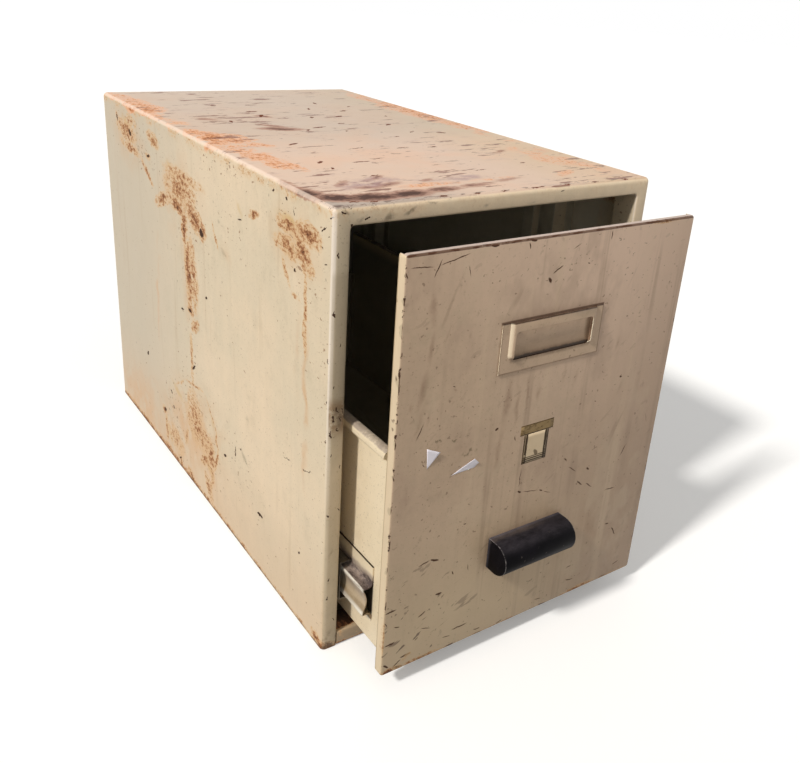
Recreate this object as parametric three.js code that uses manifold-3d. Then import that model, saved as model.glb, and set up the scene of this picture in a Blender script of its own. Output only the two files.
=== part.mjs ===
// One-drawer steel filing cabinet: a folded sheet case, an inset drawer on three-part ball slides, a card
// frame and a hooded cup pull. Millimetres, +X to the right, +Y to the back, +Z up. The origin is the centre
// of the case's footprint on the floor. The drawer stands partly open, as restOpening says.
import * as THREE from "three";
import { mergeVertices } from "three/addons/utils/BufferGeometryUtils.js";
import Module from "manifold-3d";

const wasm = await Module();
wasm.setup();

// ---- Driving dimensions --------------------------------------------------------------------------------

// Case
const caseWidth = 381;
const caseHeight = 463;
const caseDepth = 656;
const caseGauge = 1.0; // thickness of the case's steel sheet
const caseCornerRadius = 5.0; // outside radius along the top edges
const outerFoldRadius = 4.5; // centre-line radius where the case's sheet folds round its front
const frontFoldRadius = 1.8; // the tighter folds at the opening and along the sill
const frameFace = 17; // width of the front frame's face
const frameReturn = 30; // how far the frame's inner flange runs back
const openingCornerRadius = 4.0; // the opening's two upper corners
const sillHeight = 16.4;
const floorFlange = 12; // height of the floor's side flanges
const backFlange = 14; // how far the back panel's flanges run forward
const backInset = 1.5; // the back panel's set-back from the rear edges
const panelEdgeRadius = 2.0; // pressed edges and corners of the back panel and the drawer's back
const panelCornerRadius = 3.0;

// Pressed uprights that carry the slides
const uprightGauge = 1.0;
const uprightDepth = 15.7; // from the case's side to the crests that carry the slides
const uprightFoot = 12; // width of the flange welded to the side
const uprightRamp = 4; // run of each sloping wall
const uprightCrest = 18; // width of each crest
const uprightGroove = 10; // width of the groove's floor
const uprightGrooveDepth = 6.5;
const uprightBend = 1.2;
const frontUprightSetback = 105; // front edge of the front upright behind the case's front
const rearUprightGap = 70; // rear edge of the rear upright in front of the case's back

// Drawer
const drawerGauge = 1.0;
const faceSideGap = 3.0; // gap between the drawer's face and the frame, at each side
const faceTopGap = 1.8;
const faceBottomGap = 5.3;
const faceDepth = 12.5; // from the drawer's face to the back of its inner panel
const faceFlange = 10; // depth of the front pan's own flanges
const faceTopFlange = 5; // the flange along its top is cut back to this depth
const faceTopFlangeEnd = 1.3; // but for this much at each end
const faceEdgeRadius = 1.8;
const faceCornerRadius = 3.5;
const headFlange = 9; // flanges of the inner panel, which show behind the front pan's
const headEdgeRadius = 1.6;
const headTopDrop = 3; // the inner panel stops this much lower at its top
const drawerRearGap = 26.5; // behind the drawer's back when it is closed
const drawerBottomHeight = 23.5; // underside of the drawer above the floor
const sideHeight = 232.5; // from the drawer's underside to the top of the rolled edge
const rollWidth = 9; // how far the rolled edge stands out from the side
const rollDepth = 13; // height of the rolled edge
const rollBend = 3.2; // bend radii of the roll, at its outer and at its other corners
const rollSmallBend = 2.6;
const rollLipRise = 4; // where the roll turns in, above its lowest point
const rollLipGap = 2.2; // from the side sheet's middle to the roll's inner edge
const rollSetback = 9; // front end of the roll behind the drawer's front end, at its top
const rollSlant = 8; // the end slants back by this much towards its foot
const rollPinch = 12; // length over which the roll's end is pinched shut
const sideFootWidth = 14; // flange under the drawer's bottom
const drawerBackHeight = 190;
const drawerBackFlange = 11;
const beadHeight = 3; // stiffening beads along the drawer's bottom
const beadWidth = 16;
const beadSpacing = 75; // centre of each bead from the drawer's middle

// Slides
const slideGauge = 1.2;
const slideRearGap = 52; // behind the members' rear ends
const slideSetback = 44; // front ends of all the members behind the case's front, drawer closed
const railRise = 52.5; // middle of the drawer rail above the drawer's underside
const railBodyHeight = 32; // over the drawer rail's two ledges
const railStandOut = 12.2; // over the drawer rail's ledges, from the drawer's side
const railWaist = 5.6; // the web's middle bend is drawn in by this much
const railWaistBend = 22; // its radius, which rounds the waist off
const railTrough = 5; // bend radius of the ball tracks between the flanges and the ledges
const railLip = 0.9; // bend radius of the lips along the ledges
const railTopFlange = 23;
const railBottomFlange = 9;
const ballRadius = 2.5;
const ballsPerRow = 5;
const cageGauge = 0.8;
const cageMargin = 10; // each cage stays this far inside its members' overlap when the drawer is fully open
const cageEnd = 10; // from a cage's end to its first ball
const cageRun = 0.5; // running gap between a cage's strip and the members beside it
const ballRun = 0.3; // running gap round each ball
const cageHook = 0.4; // a cage's turned-in edges stop this far outside the balls' inner side
const lipHeight = 2.2; // lips that keep the balls in their races
const channelBend = 1.3;
const bufferRadius = 5.5;
const bufferLength = 8;
const bufferGap = 1.5; // between the drawer's side and the buffer with its tab

// Cup pull
const pullWidth = 93;
const pullHeight = 34;
const pullReach = 29;
const pullWall = 2.2;
const pullRim = 1.0; // small bevel round both ends
const pullLipAngle = Math.PI / 3; // the hood curls under by this much below its foremost line
const pullOffset = -6.1; // middle of the pull from the drawer's middle
const pullRise = 84.3; // its lower rear corner above the face's lower edge
const pullScrewSpacing = 60;
const pullBossRadius = 4.5;
const pullBossHeight = 28; // screws above the pull's lower rear corner
const pullBossLength = 14;
const screwRadius = 2.0;
const screwLength = 13;
const screwHeadRadius = 4.0;
const screwHeadHeight = 2.4;
const screwSlot = 1.0; // width and depth of the slot

// Card frame
const cardPlateWidth = 123;
const cardPlateHeight = 49.5;
const cardDrop = 75.6; // the plate's upper edge below the face's upper edge
const cardOffset = -3.0; // middle of the frame from the drawer's middle
const cardGauge = 0.8;
const cardRaise = 3.0; // the pocket's face stands this far off the plate
const cardBevel = 1.2; // run of the pocket's bevels for each millimetre that they rise
const cardPocketWidth = 107; // over the foot of the bevels
const cardPocketFoot = 11.9; // foot of the lower bevel above the plate's bottom edge
const cardPocketRadius = 6; // the pocket's lower corners at the foot of the bevels
const cardWindowWidth = 95;
const cardWindowHeight = 28.4;
const cardWindowFoot = 12.2; // the window above the plate's bottom edge
const cardWindowRadius = 3.5;

// Fits and motion
const seam = 0.3; // gap between sheets that are welded or screwed together
const restOpening = 79.3; // how far the drawer stands open

// ---- Places that follow from the sizes -----------------------------------------------------------------

const caseFront = -caseDepth / 2;
const caseBack = caseDepth / 2;
const sideInner = caseWidth / 2 - caseGauge; // inner face of the case's sides
const openingHalf = caseWidth / 2 - frameFace;
const openingTop = caseHeight - frameFace;
const faceWidth = 2 * (openingHalf - faceSideGap);
const faceBottom = sillHeight + faceBottomGap;
const faceHeight = openingTop - faceTopGap - faceBottom;
const drawerFrontEnd = caseFront + faceDepth + seam; // front edges of the drawer's sides and bottom
const drawerRearEnd = caseBack - drawerRearGap;
const floorTop = drawerBottomHeight + drawerGauge + seam; // underside of the drawer's bottom sheet
const pullBottom = faceBottom + pullRise;
const cardBottom = faceBottom + faceHeight - cardDrop - cardPlateHeight;
const screwHeight = pullBottom + pullBossHeight;

// Along the slides. The drawer's full travel is the members' length.
const slideFront = caseFront + slideSetback;
const slideRear = caseBack - slideRearGap;
const slideLength = slideRear - slideFront;
const cageFront = slideFront + slideLength / 4 + cageMargin;
const cageLength = slideLength / 2 - 2 * cageMargin;
const ballPitch = (cageLength - 2 * cageEnd) / (ballsPerRow - 1);

// Across the slides, as distances out from the drawer's side to the middle of each sheet.
const halfSlide = slideGauge / 2;
const innerCageLine = railStandOut + cageRun + cageGauge / 2;
const middleWeb = innerCageLine + cageGauge / 2 + cageRun + halfSlide;
const outerCageLine = middleWeb + halfSlide + cageRun + cageGauge / 2;
const outerWeb = outerCageLine + cageGauge / 2 + cageRun + halfSlide;
const innerBallLine = railStandOut / 2;
const outerBallLine = innerBallLine + ballRadius + slideGauge;
const raceLip = ballRadius + ballRun + halfSlide; // lips of a race inside the balls' middle
const crestFace = sideInner - seam - uprightDepth; // the uprights' faces that the slides are welded to
const drawerHalf = crestFace - seam - (outerWeb + halfSlide); // outer face of the drawer's sides

// Up the slides.
const railHeight = drawerBottomHeight + railRise;
const railTop = railHeight + railBodyHeight / 2; // upper ball track of the drawer rail
const railBottom = railHeight - railBodyHeight / 2;
const ballSpace = 2 * (ballRadius + ballRun);
const middleTop = railTop + ballSpace + halfSlide;
const middleBottom = railBottom - ballSpace - halfSlide;
const outerTop = middleTop + halfSlide + ballSpace + halfSlide;
const outerBottom = middleBottom - halfSlide - ballSpace - halfSlide;

// ---- Shapes --------------------------------------------------------------------------------------------

const arcSteps = 4; // facets in a quarter bend
const point = (a, b) => new THREE.Vector2(a, b);

// Centre line of a folded strip: the corners joined by straight runs, with a bend at each inner corner.
// A corner may carry a bend radius of its own as a third number.
function folded(corners, radius) {
  const at = corners.map(([a, b]) => point(a, b));
  const line = [at[0]];
  for (let i = 1; i < at.length - 1; i++) {
    const bend = corners[i][2] ?? radius;
    const back = at[i - 1].clone().sub(at[i]).normalize();
    const ahead = at[i + 1].clone().sub(at[i]).normalize();
    const half = Math.acos(back.dot(ahead)) / 2;
    const middle = back.clone().add(ahead).normalize();
    const centre = at[i].clone().addScaledVector(middle, bend / Math.sin(half));
    const start = at[i].clone().addScaledVector(back, bend / Math.tan(half));
    const turn = Math.sign(ahead.cross(back)) * (Math.PI - 2 * half);
    const facets = arcSteps + bend / 5; // a wide bend gets a few more
    const steps = Math.max(2, Math.round((facets * Math.abs(turn)) / (Math.PI / 2)));
    for (let k = 0; k <= steps; k++) {
      line.push(start.clone().rotateAround(centre, (turn * k) / steps));
    }
  }
  line.push(at.at(-1));
  return line;
}

// Closed outline of a strip of sheet along a centre line.
function strip(line, gauge) {
  const normals = line.slice(1).map((p, i) => {
    const run = p.clone().sub(line[i]).normalize();
    return point(-run.y, run.x);
  });
  const edge = (offset) =>
    line.map((p, i) => {
      const before = normals[Math.max(i - 1, 0)];
      const after = normals[Math.min(i, normals.length - 1)];
      const middle = before.clone().add(after).normalize();
      return p.clone().addScaledVector(middle, offset / middle.dot(before));
    });
  return [...edge(gauge / 2), ...edge(-gauge / 2).reverse()];
}

const mirrored = (outline) => outline.map((p) => point(-p.x, p.y));

function roundedRectangle(halfWidth, halfHeight, radius) {
  const corners = [[1, 1], [-1, 1], [-1, -1], [1, -1]];
  return corners.flatMap(([sx, sy], quarter) => {
    const centre = point(sx * (halfWidth - radius), sy * (halfHeight - radius));
    return Array.from({ length: arcSteps + 1 }, (_, k) => {
      const angle = ((quarter + k / arcSteps) * Math.PI) / 2;
      return point(centre.x + radius * Math.cos(angle), centre.y + radius * Math.sin(angle));
    });
  });
}

// Extrusions of an outline. Its two coordinates are X and Z, X and Y, or Y and Z.
function extruded(outline, from, to, xAxis, yAxis, start) {
  const shape = outline instanceof THREE.Shape ? outline : new THREE.Shape(outline);
  const settings = { depth: to - from, bevelEnabled: false, curveSegments: 10 };
  const geometry = new THREE.ExtrudeGeometry(shape, settings);
  const basis = new THREE.Matrix4().makeBasis(xAxis, yAxis, xAxis.clone().cross(yAxis));
  return solid(geometry.applyMatrix4(basis.setPosition(start)));
}
const X = new THREE.Vector3(1, 0, 0);
const Y = new THREE.Vector3(0, 1, 0);
const Z = new THREE.Vector3(0, 0, 1);
const alongY = (outline, from, to) => extruded(outline, from, to, X, Z, new THREE.Vector3(0, to, 0));
const alongZ = (outline, from, to) => extruded(outline, from, to, X, Y, new THREE.Vector3(0, 0, from));
const alongX = (outline, from, to) => extruded(outline, from, to, Y, Z, new THREE.Vector3(from, 0, 0));

// Closed skin through rings of as many points each, with a flat cap on the first and the last.
function loft(rings) {
  const positions = [];
  const triangle = (a, b, c) => {
    const flat = [a.distanceTo(b), b.distanceTo(c), c.distanceTo(a)].some((d) => d < 1e-5);
    if (!flat) positions.push(...a.toArray(), ...b.toArray(), ...c.toArray());
  };
  const count = rings[0].length;
  for (let i = 0; i < rings.length - 1; i++) {
    for (let j = 0; j < count; j++) {
      const next = (j + 1) % count;
      triangle(rings[i][j], rings[i + 1][j], rings[i + 1][next]);
      triangle(rings[i][j], rings[i + 1][next], rings[i][next]);
    }
  }
  cap(rings[0], false, triangle);
  cap(rings.at(-1), true, triangle);
  const geometry = new THREE.BufferGeometry();
  geometry.setAttribute("position", new THREE.Float32BufferAttribute(positions, 3));
  return solid(geometry);
}

// Triangulates a flat ring, seen along the axis that it faces most. Its triangles follow the ring's own turn.
function cap(ring, last, triangle) {
  const facing = new THREE.Vector3();
  ring.forEach((p, i) => facing.add(p.clone().cross(ring[(i + 1) % ring.length])));
  const sizes = facing.toArray().map(Math.abs);
  const axis = sizes.indexOf(Math.max(...sizes));
  const drop = ["x", "y", "z"][axis];
  const [u, v] = ["x", "y", "z"].filter((name) => name !== drop);
  const flat = ring.map((p) => point(p[u], p[v]));
  const turned = THREE.ShapeUtils.isClockWise(flat);
  THREE.ShapeUtils.triangulateShape(turned ? [...flat].reverse() : flat, []).forEach((face) => {
    const [a, b, c] = face.map((k) => ring[turned ? ring.length - 1 - k : k]);
    if (turned === last) triangle(a, b, c);
    else triangle(c, b, a);
  });
}

// A pressed pan: a flat face at y = 0 that looks to -Y, rounded edges, and flanges that run to y = turn.
function pan(width, height, turn, gauge, edgeRadius, cornerRadius) {
  const stations = [];
  for (let k = 0; k <= arcSteps; k++) {
    const angle = (k / arcSteps) * (Math.PI / 2);
    stations.push([edgeRadius * (1 - Math.sin(angle)), edgeRadius * (1 - Math.cos(angle))]);
  }
  stations.push([0, turn], [gauge, turn]);
  const inner = edgeRadius - gauge;
  for (let k = arcSteps; k >= 0; k--) {
    const angle = (k / arcSteps) * (Math.PI / 2);
    stations.push([edgeRadius - inner * Math.sin(angle), edgeRadius - inner * Math.cos(angle)]);
  }
  const smallest = 0.3;
  return loft(
    stations.map(([inset, y]) => {
      const radius = Math.max(cornerRadius - inset, smallest);
      const outline = roundedRectangle(width / 2 - inset, height / 2 - inset, radius);
      return outline.map((p) => new THREE.Vector3(p.x, y, p.y));
    }),
  );
}

function box(lowX, highX, lowY, highY, lowZ, highZ) {
  const geometry = new THREE.BoxGeometry(highX - lowX, highY - lowY, highZ - lowZ);
  return solid(geometry.translate((lowX + highX) / 2, (lowY + highY) / 2, (lowZ + highZ) / 2));
}

// A round bar along Y.
function rod(radius, from, to, x, z, sides = 16) {
  const geometry = new THREE.CylinderGeometry(radius, radius, to - from, sides);
  return solid(geometry.translate(x, (from + to) / 2, z));
}

function ball(x, y, z) {
  return solid(new THREE.SphereGeometry(ballRadius, 8, 6).translate(x, y, z));
}

// ---- Solids and meshes ---------------------------------------------------------------------------------

function solid(geometry) {
  const bare = geometry.index ? geometry.toNonIndexed() : geometry.clone();
  bare.deleteAttribute("normal");
  bare.deleteAttribute("uv");
  const merged = mergeVertices(bare, 1e-4);
  const made = new wasm.Manifold(
    new wasm.Mesh({
      numProp: 3,
      vertProperties: merged.attributes.position.array,
      triVerts: new Uint32Array(merged.index.array),
    }),
  );
  return made.volume() < 0 ? turnedOut(merged) : made;
}

function turnedOut(merged) {
  const order = new Uint32Array(merged.index.array);
  for (let i = 0; i < order.length; i += 3) [order[i], order[i + 1]] = [order[i + 1], order[i]];
  const vertProperties = merged.attributes.position.array;
  return new wasm.Manifold(new wasm.Mesh({ numProp: 3, vertProperties, triVerts: order }));
}

function meshOf(name, made, material) {
  const { vertProperties, numProp, triVerts } = made.getMesh();
  const geometry = new THREE.BufferGeometry();
  const positions = new Float32Array((vertProperties.length / numProp) * 3);
  for (let i = 0; i < positions.length / 3; i++) {
    positions.set(vertProperties.subarray(i * numProp, i * numProp + 3), i * 3);
  }
  geometry.setAttribute("position", new THREE.BufferAttribute(positions, 3));
  geometry.setIndex(new THREE.BufferAttribute(triVerts, 1));
  geometry.computeVertexNormals();
  const mesh = new THREE.Mesh(geometry, material());
  mesh.name = name;
  return mesh;
}

const finish = (color, roughness, metalness) => () =>
  new THREE.MeshStandardMaterial({ color, roughness, metalness });
const creamEnamel = finish(0xd9cba6, 0.55, 0.1);
const faceEnamel = finish(0xcdbd9c, 0.5, 0.1);
const greasySteel = finish(0x9c907c, 0.5, 0.8);
const bareSteel = finish(0xb4b4b2, 0.3, 1.0);
const blackEnamel = finish(0x17161a, 0.4, 0.1);
const blackRubber = finish(0x202020, 0.9, 0.0);

// ---- Case ----------------------------------------------------------------------------------------------

// The wrap's edge path at a given distance inside its outer surface: up one side, over the top and down.
// Its corners follow the case's outer ones, or the opening's once they are nearer to that.
function wrapPath(inset) {
  const side = caseWidth / 2 - inset;
  const top = caseHeight - inset;
  const inner = inset > frameFace / 2;
  const radius = inner ? openingCornerRadius + frameFace - inset : Math.max(caseCornerRadius - inset, 0);
  const corner = (sign) =>
    Array.from({ length: arcSteps + 1 }, (_, k) => {
      const share = sign < 0 ? k / arcSteps : 1 - k / arcSteps;
      const angle = (share * Math.PI) / 2;
      return point(sign * (side - radius + radius * Math.cos(angle)), top - radius + radius * Math.sin(angle));
    });
  return [point(-side, 0), ...corner(-1), ...corner(1), point(side, 0)];
}

// Both sides and the top in one sheet, its front edge folded in and back to make the frame.
function outerWrap() {
  const half = caseGauge / 2;
  const line = folded(
    [
      [half, caseBack],
      [half, caseFront + half, outerFoldRadius],
      [frameFace - half, caseFront + half],
      [frameFace - half, caseFront + frameReturn],
    ],
    frontFoldRadius,
  );
  const section = strip(line, caseGauge);
  const paths = section.map((p) => wrapPath(p.x));
  const stations = paths[0].map((_, j) =>
    section.map((p, i) => new THREE.Vector3(paths[i][j].x, p.y, paths[i][j].y)),
  );
  return loft(stations);
}

function frontSill() {
  const half = caseGauge / 2;
  const front = caseFront + half;
  const rear = caseFront + frameReturn - seam;
  const line = folded(
    [
      [rear, half],
      [front, half],
      [front, sillHeight - half],
      [rear, sillHeight - half],
      [rear, sillHeight / 2],
    ],
    frontFoldRadius,
  );
  return alongX(strip(line, caseGauge), -openingHalf + seam, openingHalf - seam);
}

function floorPan() {
  const half = caseGauge / 2;
  const side = sideInner - seam - half;
  const line = folded([[-side, floorFlange], [-side, half], [side, half], [side, floorFlange]], caseGauge);
  return alongY(strip(line, caseGauge), caseFront + frameReturn + seam, caseBack - backInset);
}

function backPanel() {
  const bottom = caseGauge + seam;
  const top = caseHeight - caseGauge - seam;
  const width = 2 * (sideInner - 2 * seam - caseGauge);
  const made = pan(width, top - bottom, backFlange, caseGauge, panelEdgeRadius, panelCornerRadius);
  return made.rotate([0, 0, 180]).translate([0, caseBack - backInset, (top + bottom) / 2]);
}

const uprightRun = 2 * uprightFoot + 4 * uprightRamp + 2 * uprightCrest + uprightGroove;

// A post with two crests and a groove between them, pressed from one sheet and welded to the case's side.
function upright(side, setback) {
  const half = uprightGauge / 2;
  const foot = sideInner - seam - half;
  const crest = crestFace + half;
  const groove = crest + uprightGrooveDepth;
  const runs = [
    [foot, uprightFoot],
    [crest, uprightRamp],
    [crest, uprightCrest],
    [groove, uprightRamp],
    [groove, uprightGroove],
    [crest, uprightRamp],
    [crest, uprightCrest],
    [foot, uprightRamp],
    [foot, uprightFoot],
  ];
  let y = caseFront + setback;
  const corners = [[foot, y]];
  runs.forEach(([x, run]) => {
    y += run;
    corners.push([x, y]);
  });
  const outline = strip(folded(corners, uprightBend), uprightGauge);
  const bottom = floorFlange + seam;
  const made = alongZ(outline, bottom, caseHeight - caseCornerRadius - seam);
  return side > 0 ? made : made.mirror([1, 0, 0]);
}

// ---- Slides --------------------------------------------------------------------------------------------
// Each section is drawn as [distance out from the drawer's side, height], and stands on the drawer's right.

function alongSlide(corners, gauge, radius, side, from, to) {
  const moved = corners.map(([out, z, ...own]) => [drawerHalf + out, z, ...own]);
  const outline = strip(folded(moved, radius), gauge);
  return alongY(side > 0 ? outline : mirrored(outline), from, to);
}

// Hat section welded to the drawer's side: two flanges that sweep out in a round ball track each, and a web
// drawn in to a waist between the two lips.
function drawerRail(side) {
  const flange = seam + halfSlide;
  const ledge = railStandOut - halfSlide;
  const upper = railTop - halfSlide;
  const lower = railBottom + halfSlide;
  const corners = [
    [flange, railTop + railTopFlange],
    [flange, upper, railTrough],
    [ledge, upper],
    [ledge - railWaist, railHeight, railWaistBend],
    [ledge, lower],
    [flange, lower, railTrough],
    [flange, railBottom - railBottomFlange],
  ];
  return alongSlide(corners, slideGauge, railLip, side, slideFront, slideRear);
}

// Channel that grips the balls above and below the member inside it.
function channel(side, web, top, bottom, lipLine, from, to) {
  const corners = [
    [lipLine, top - halfSlide - lipHeight],
    [lipLine, top],
    [web, top],
    [web, bottom],
    [lipLine, bottom],
    [lipLine, bottom + halfSlide + lipHeight],
  ];
  return alongSlide(corners, slideGauge, channelBend, side, from, to);
}

const middleMember = (side) =>
  channel(side, middleWeb, middleTop, middleBottom, innerBallLine - raceLip, slideFront, slideRear);

// The member fixed to the uprights. A tab across its rear end carries the rubber buffer.
function caseMember(side) {
  const tabFront = slideRear + seam + bufferLength + seam;
  const rear = tabFront + slideGauge;
  const lipLine = outerBallLine - raceLip;
  const made = channel(side, outerWeb, outerTop, outerBottom, lipLine, slideFront, rear);
  const inner = drawerHalf + bufferGap;
  const outer = drawerHalf + outerWeb;
  const low = railHeight - bufferRadius;
  const high = railHeight + bufferRadius;
  const tab = box(side > 0 ? inner : -outer, side > 0 ? outer : -inner, tabFront, rear, low, high);
  return made.add(tab);
}

function buffer(side) {
  const front = slideRear + seam;
  const x = side * (drawerHalf + bufferGap + bufferRadius);
  return rod(bufferRadius, front, front + bufferLength, x, railHeight, 20);
}

// Strip with its edges turned in, which spaces the balls of the upper and the lower race.
function cage(side, line, ballLine, ballTop, ballBottom) {
  const reach = ballLine - ballRadius + cageHook;
  const corners = [[reach, ballTop], [line, ballTop], [line, ballBottom], [reach, ballBottom]];
  let made = alongSlide(corners, cageGauge, cageGauge, side, cageFront, cageFront + cageLength);
  const first = cageFront + cageEnd;
  for (let i = 0; i < ballsPerRow; i++) {
    for (const z of [ballTop, ballBottom]) {
      made = made.add(ball(side * (drawerHalf + ballLine), first + i * ballPitch, z));
    }
  }
  return made;
}

const innerCage = (side) =>
  cage(side, innerCageLine, innerBallLine, railTop + ballSpace / 2, railBottom - ballSpace / 2);
const outerCage = (side) =>
  cage(
    side,
    outerCageLine,
    outerBallLine,
    middleTop + halfSlide + ballSpace / 2,
    middleBottom - halfSlide - ballSpace / 2,
  );

// ---- Drawer --------------------------------------------------------------------------------------------

// The front pan. Its top flange is cut back between its two ends.
function drawerFace() {
  const made = pan(faceWidth, faceHeight, faceFlange, drawerGauge, faceEdgeRadius, faceCornerRadius);
  const half = faceWidth / 2 - faceTopFlangeEnd;
  const from = caseFront + faceTopFlange;
  const top = faceBottom + faceHeight;
  const notch = box(-half, half, from, from + faceFlange, top - 2 * drawerGauge, top + drawerGauge);
  let face = made.translate([0, caseFront, faceBottom + faceHeight / 2]).subtract(notch);
  for (const side of [-1, 1]) {
    const x = pullOffset + (side * pullScrewSpacing) / 2;
    face = face.subtract(rod(screwRadius + seam, caseFront - 1, caseFront + 2, x, screwHeight, 12));
  }
  return face;
}

// The inner panel that closes the front pan from behind. The drawer's sides are welded to it.
function drawerHead() {
  const inset = drawerGauge + seam;
  const width = faceWidth - 2 * inset;
  const tall = faceHeight - 2 * inset - headTopDrop;
  const made = pan(width, tall, headFlange, drawerGauge, headEdgeRadius, faceCornerRadius - inset);
  const turned = made.rotate([0, 0, 180]);
  return turned.translate([0, caseFront + faceDepth, faceBottom + inset + tall / 2]);
}

// Side sheet with a foot that carries the bottom and a hollow edge rolled outwards along its top. At its front
// end the roll is pinched shut and cut off on a slant.
function drawerSide(side) {
  const half = drawerGauge / 2;
  const sheet = drawerHalf - half;
  const foot = drawerBottomHeight + half;
  const top = drawerBottomHeight + sideHeight - half;
  const rollFoot = top - rollDepth;
  const roll = [
    [sheet, top, rollSmallBend],
    [sheet + rollWidth - half, top, rollBend],
    [sheet + rollWidth - half, rollFoot + rollLipRise, rollSmallBend],
    [sheet + rollLipGap, rollFoot],
  ];
  const placed = (outline, to) => alongY(side > 0 ? outline : mirrored(outline), drawerFrontEnd, to);
  const line = folded([[sheet - sideFootWidth, foot], [sheet, foot], ...roll], drawerGauge);
  const whole = placed(strip(line, drawerGauge), drawerRearEnd);
  const cutTop = drawerFrontEnd + rollSetback;
  const cutFoot = cutTop + rollSlant;
  const pinch = placed(folded([[sheet, rollFoot], ...roll], drawerGauge), cutFoot + rollPinch);
  const beyond = 3; // the cutter reaches this far past the roll
  const notch = [
    point(drawerFrontEnd - beyond, rollFoot - beyond),
    point(cutFoot, rollFoot - beyond),
    point(cutTop, top + beyond),
    point(drawerFrontEnd - beyond, top + beyond),
  ];
  const near = drawerHalf + seam;
  const far = near + rollWidth + beyond;
  const cutter = side > 0 ? alongX(notch, near, far) : alongX(notch, -far, -near);
  return whole.add(pinch).subtract(cutter);
}

function drawerBottom() {
  const half = drawerGauge / 2;
  const side = drawerHalf - drawerGauge - seam;
  const z = floorTop + half;
  const bead = (middle) => [
    [middle - beadWidth / 2, z],
    [middle - beadWidth / 2 + beadHeight, z + beadHeight],
    [middle + beadWidth / 2 - beadHeight, z + beadHeight],
    [middle + beadWidth / 2, z],
  ];
  const corners = [[-side, z], ...bead(-beadSpacing), ...bead(beadSpacing), [side, z]];
  return alongY(strip(folded(corners, drawerGauge), drawerGauge), drawerFrontEnd, drawerRearEnd);
}

function drawerBack() {
  const width = 2 * (drawerHalf - drawerGauge - seam);
  const bottom = floorTop + drawerGauge + beadHeight + seam;
  const tall = drawerBackHeight - bottom;
  const made = pan(width, tall, drawerBackFlange, drawerGauge, panelEdgeRadius, panelCornerRadius);
  return made.rotate([0, 0, 180]).translate([0, drawerRearEnd, bottom + tall / 2]);
}

// ---- Cup pull and card frame ---------------------------------------------------------------------------

// Side view of the pull as [distance out from the drawer's face, height]: a flat back and a half-round front.
function hoodOutline() {
  const radius = pullHeight / 2;
  const middle = pullReach - radius;
  const shape = new THREE.Shape();
  shape.moveTo(0, pullHeight);
  shape.lineTo(middle, pullHeight);
  shape.absarc(middle, radius, radius, Math.PI / 2, -Math.PI / 2, true);
  shape.lineTo(0, 0);
  shape.closePath();
  return shape;
}

// The space under the hood in the same view. It is open at the back and, up to the hood's lip, below.
function hollowOutline() {
  const radius = pullHeight / 2;
  const middle = pullReach - radius;
  const inner = radius - pullWall;
  const beyond = 3; // it is cut out past the back and past the bottom
  const shape = new THREE.Shape();
  shape.moveTo(-beyond, pullHeight - pullWall);
  shape.lineTo(middle, pullHeight - pullWall);
  shape.absarc(middle, radius, inner, Math.PI / 2, -pullLipAngle, true);
  shape.lineTo(middle + inner * Math.cos(pullLipAngle), -beyond);
  shape.lineTo(-beyond, -beyond);
  shape.closePath();
  return shape;
}

// One of those outlines as a bar along X, with a bevel round both ends.
function hoodBar(shape, halfWidth, bevel) {
  const settings = {
    depth: 2 * (halfWidth - bevel),
    bevelEnabled: bevel > 0,
    bevelSize: bevel,
    bevelOffset: -bevel,
    bevelThickness: bevel,
    bevelSegments: 2,
    curveSegments: 14,
  };
  const geometry = new THREE.ExtrudeGeometry(shape, settings);
  const basis = new THREE.Matrix4().makeBasis(Y.clone().negate(), Z, X.clone().negate());
  return solid(geometry.applyMatrix4(basis.setPosition(halfWidth - bevel, 0, 0)));
}

// Half-round hood, closed at its ends and open below for the fingers, with a boss inside for each screw.
function cupPull() {
  const halfWidth = pullWidth / 2;
  const hollow = hoodBar(hollowOutline(), halfWidth - pullWall, 0);
  let made = hoodBar(hoodOutline(), halfWidth, pullRim).subtract(hollow);
  const bossBack = -seam / 2;
  for (const side of [-1, 1]) {
    const x = (side * pullScrewSpacing) / 2;
    const boss = rod(pullBossRadius, -pullBossLength, bossBack, x, pullBossHeight, 16);
    const bore = rod(screwRadius + seam, -screwLength, 1, x, pullBossHeight, 12);
    made = made.add(boss).subtract(bore);
  }
  return made.translate([pullOffset, caseFront - seam, pullBottom]);
}

// Slotted screw, driven from inside the front pan.
function pullScrew(side) {
  const x = pullOffset + (side * pullScrewSpacing) / 2;
  const seat = caseFront + drawerGauge + seam;
  const headEnd = seat + screwHeadHeight;
  const shank = rod(screwRadius, seat - screwLength + 1, seat + seam, x, screwHeight, 12);
  const head = rod(screwHeadRadius, seat, headEnd, x, screwHeight, 16);
  const reach = screwHeadRadius + seam;
  const half = screwSlot / 2;
  const slot = box(x - reach, x + reach, headEnd - screwSlot, headEnd + 1, screwHeight - half, screwHeight + half);
  return shank.add(head).subtract(slot);
}

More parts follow.
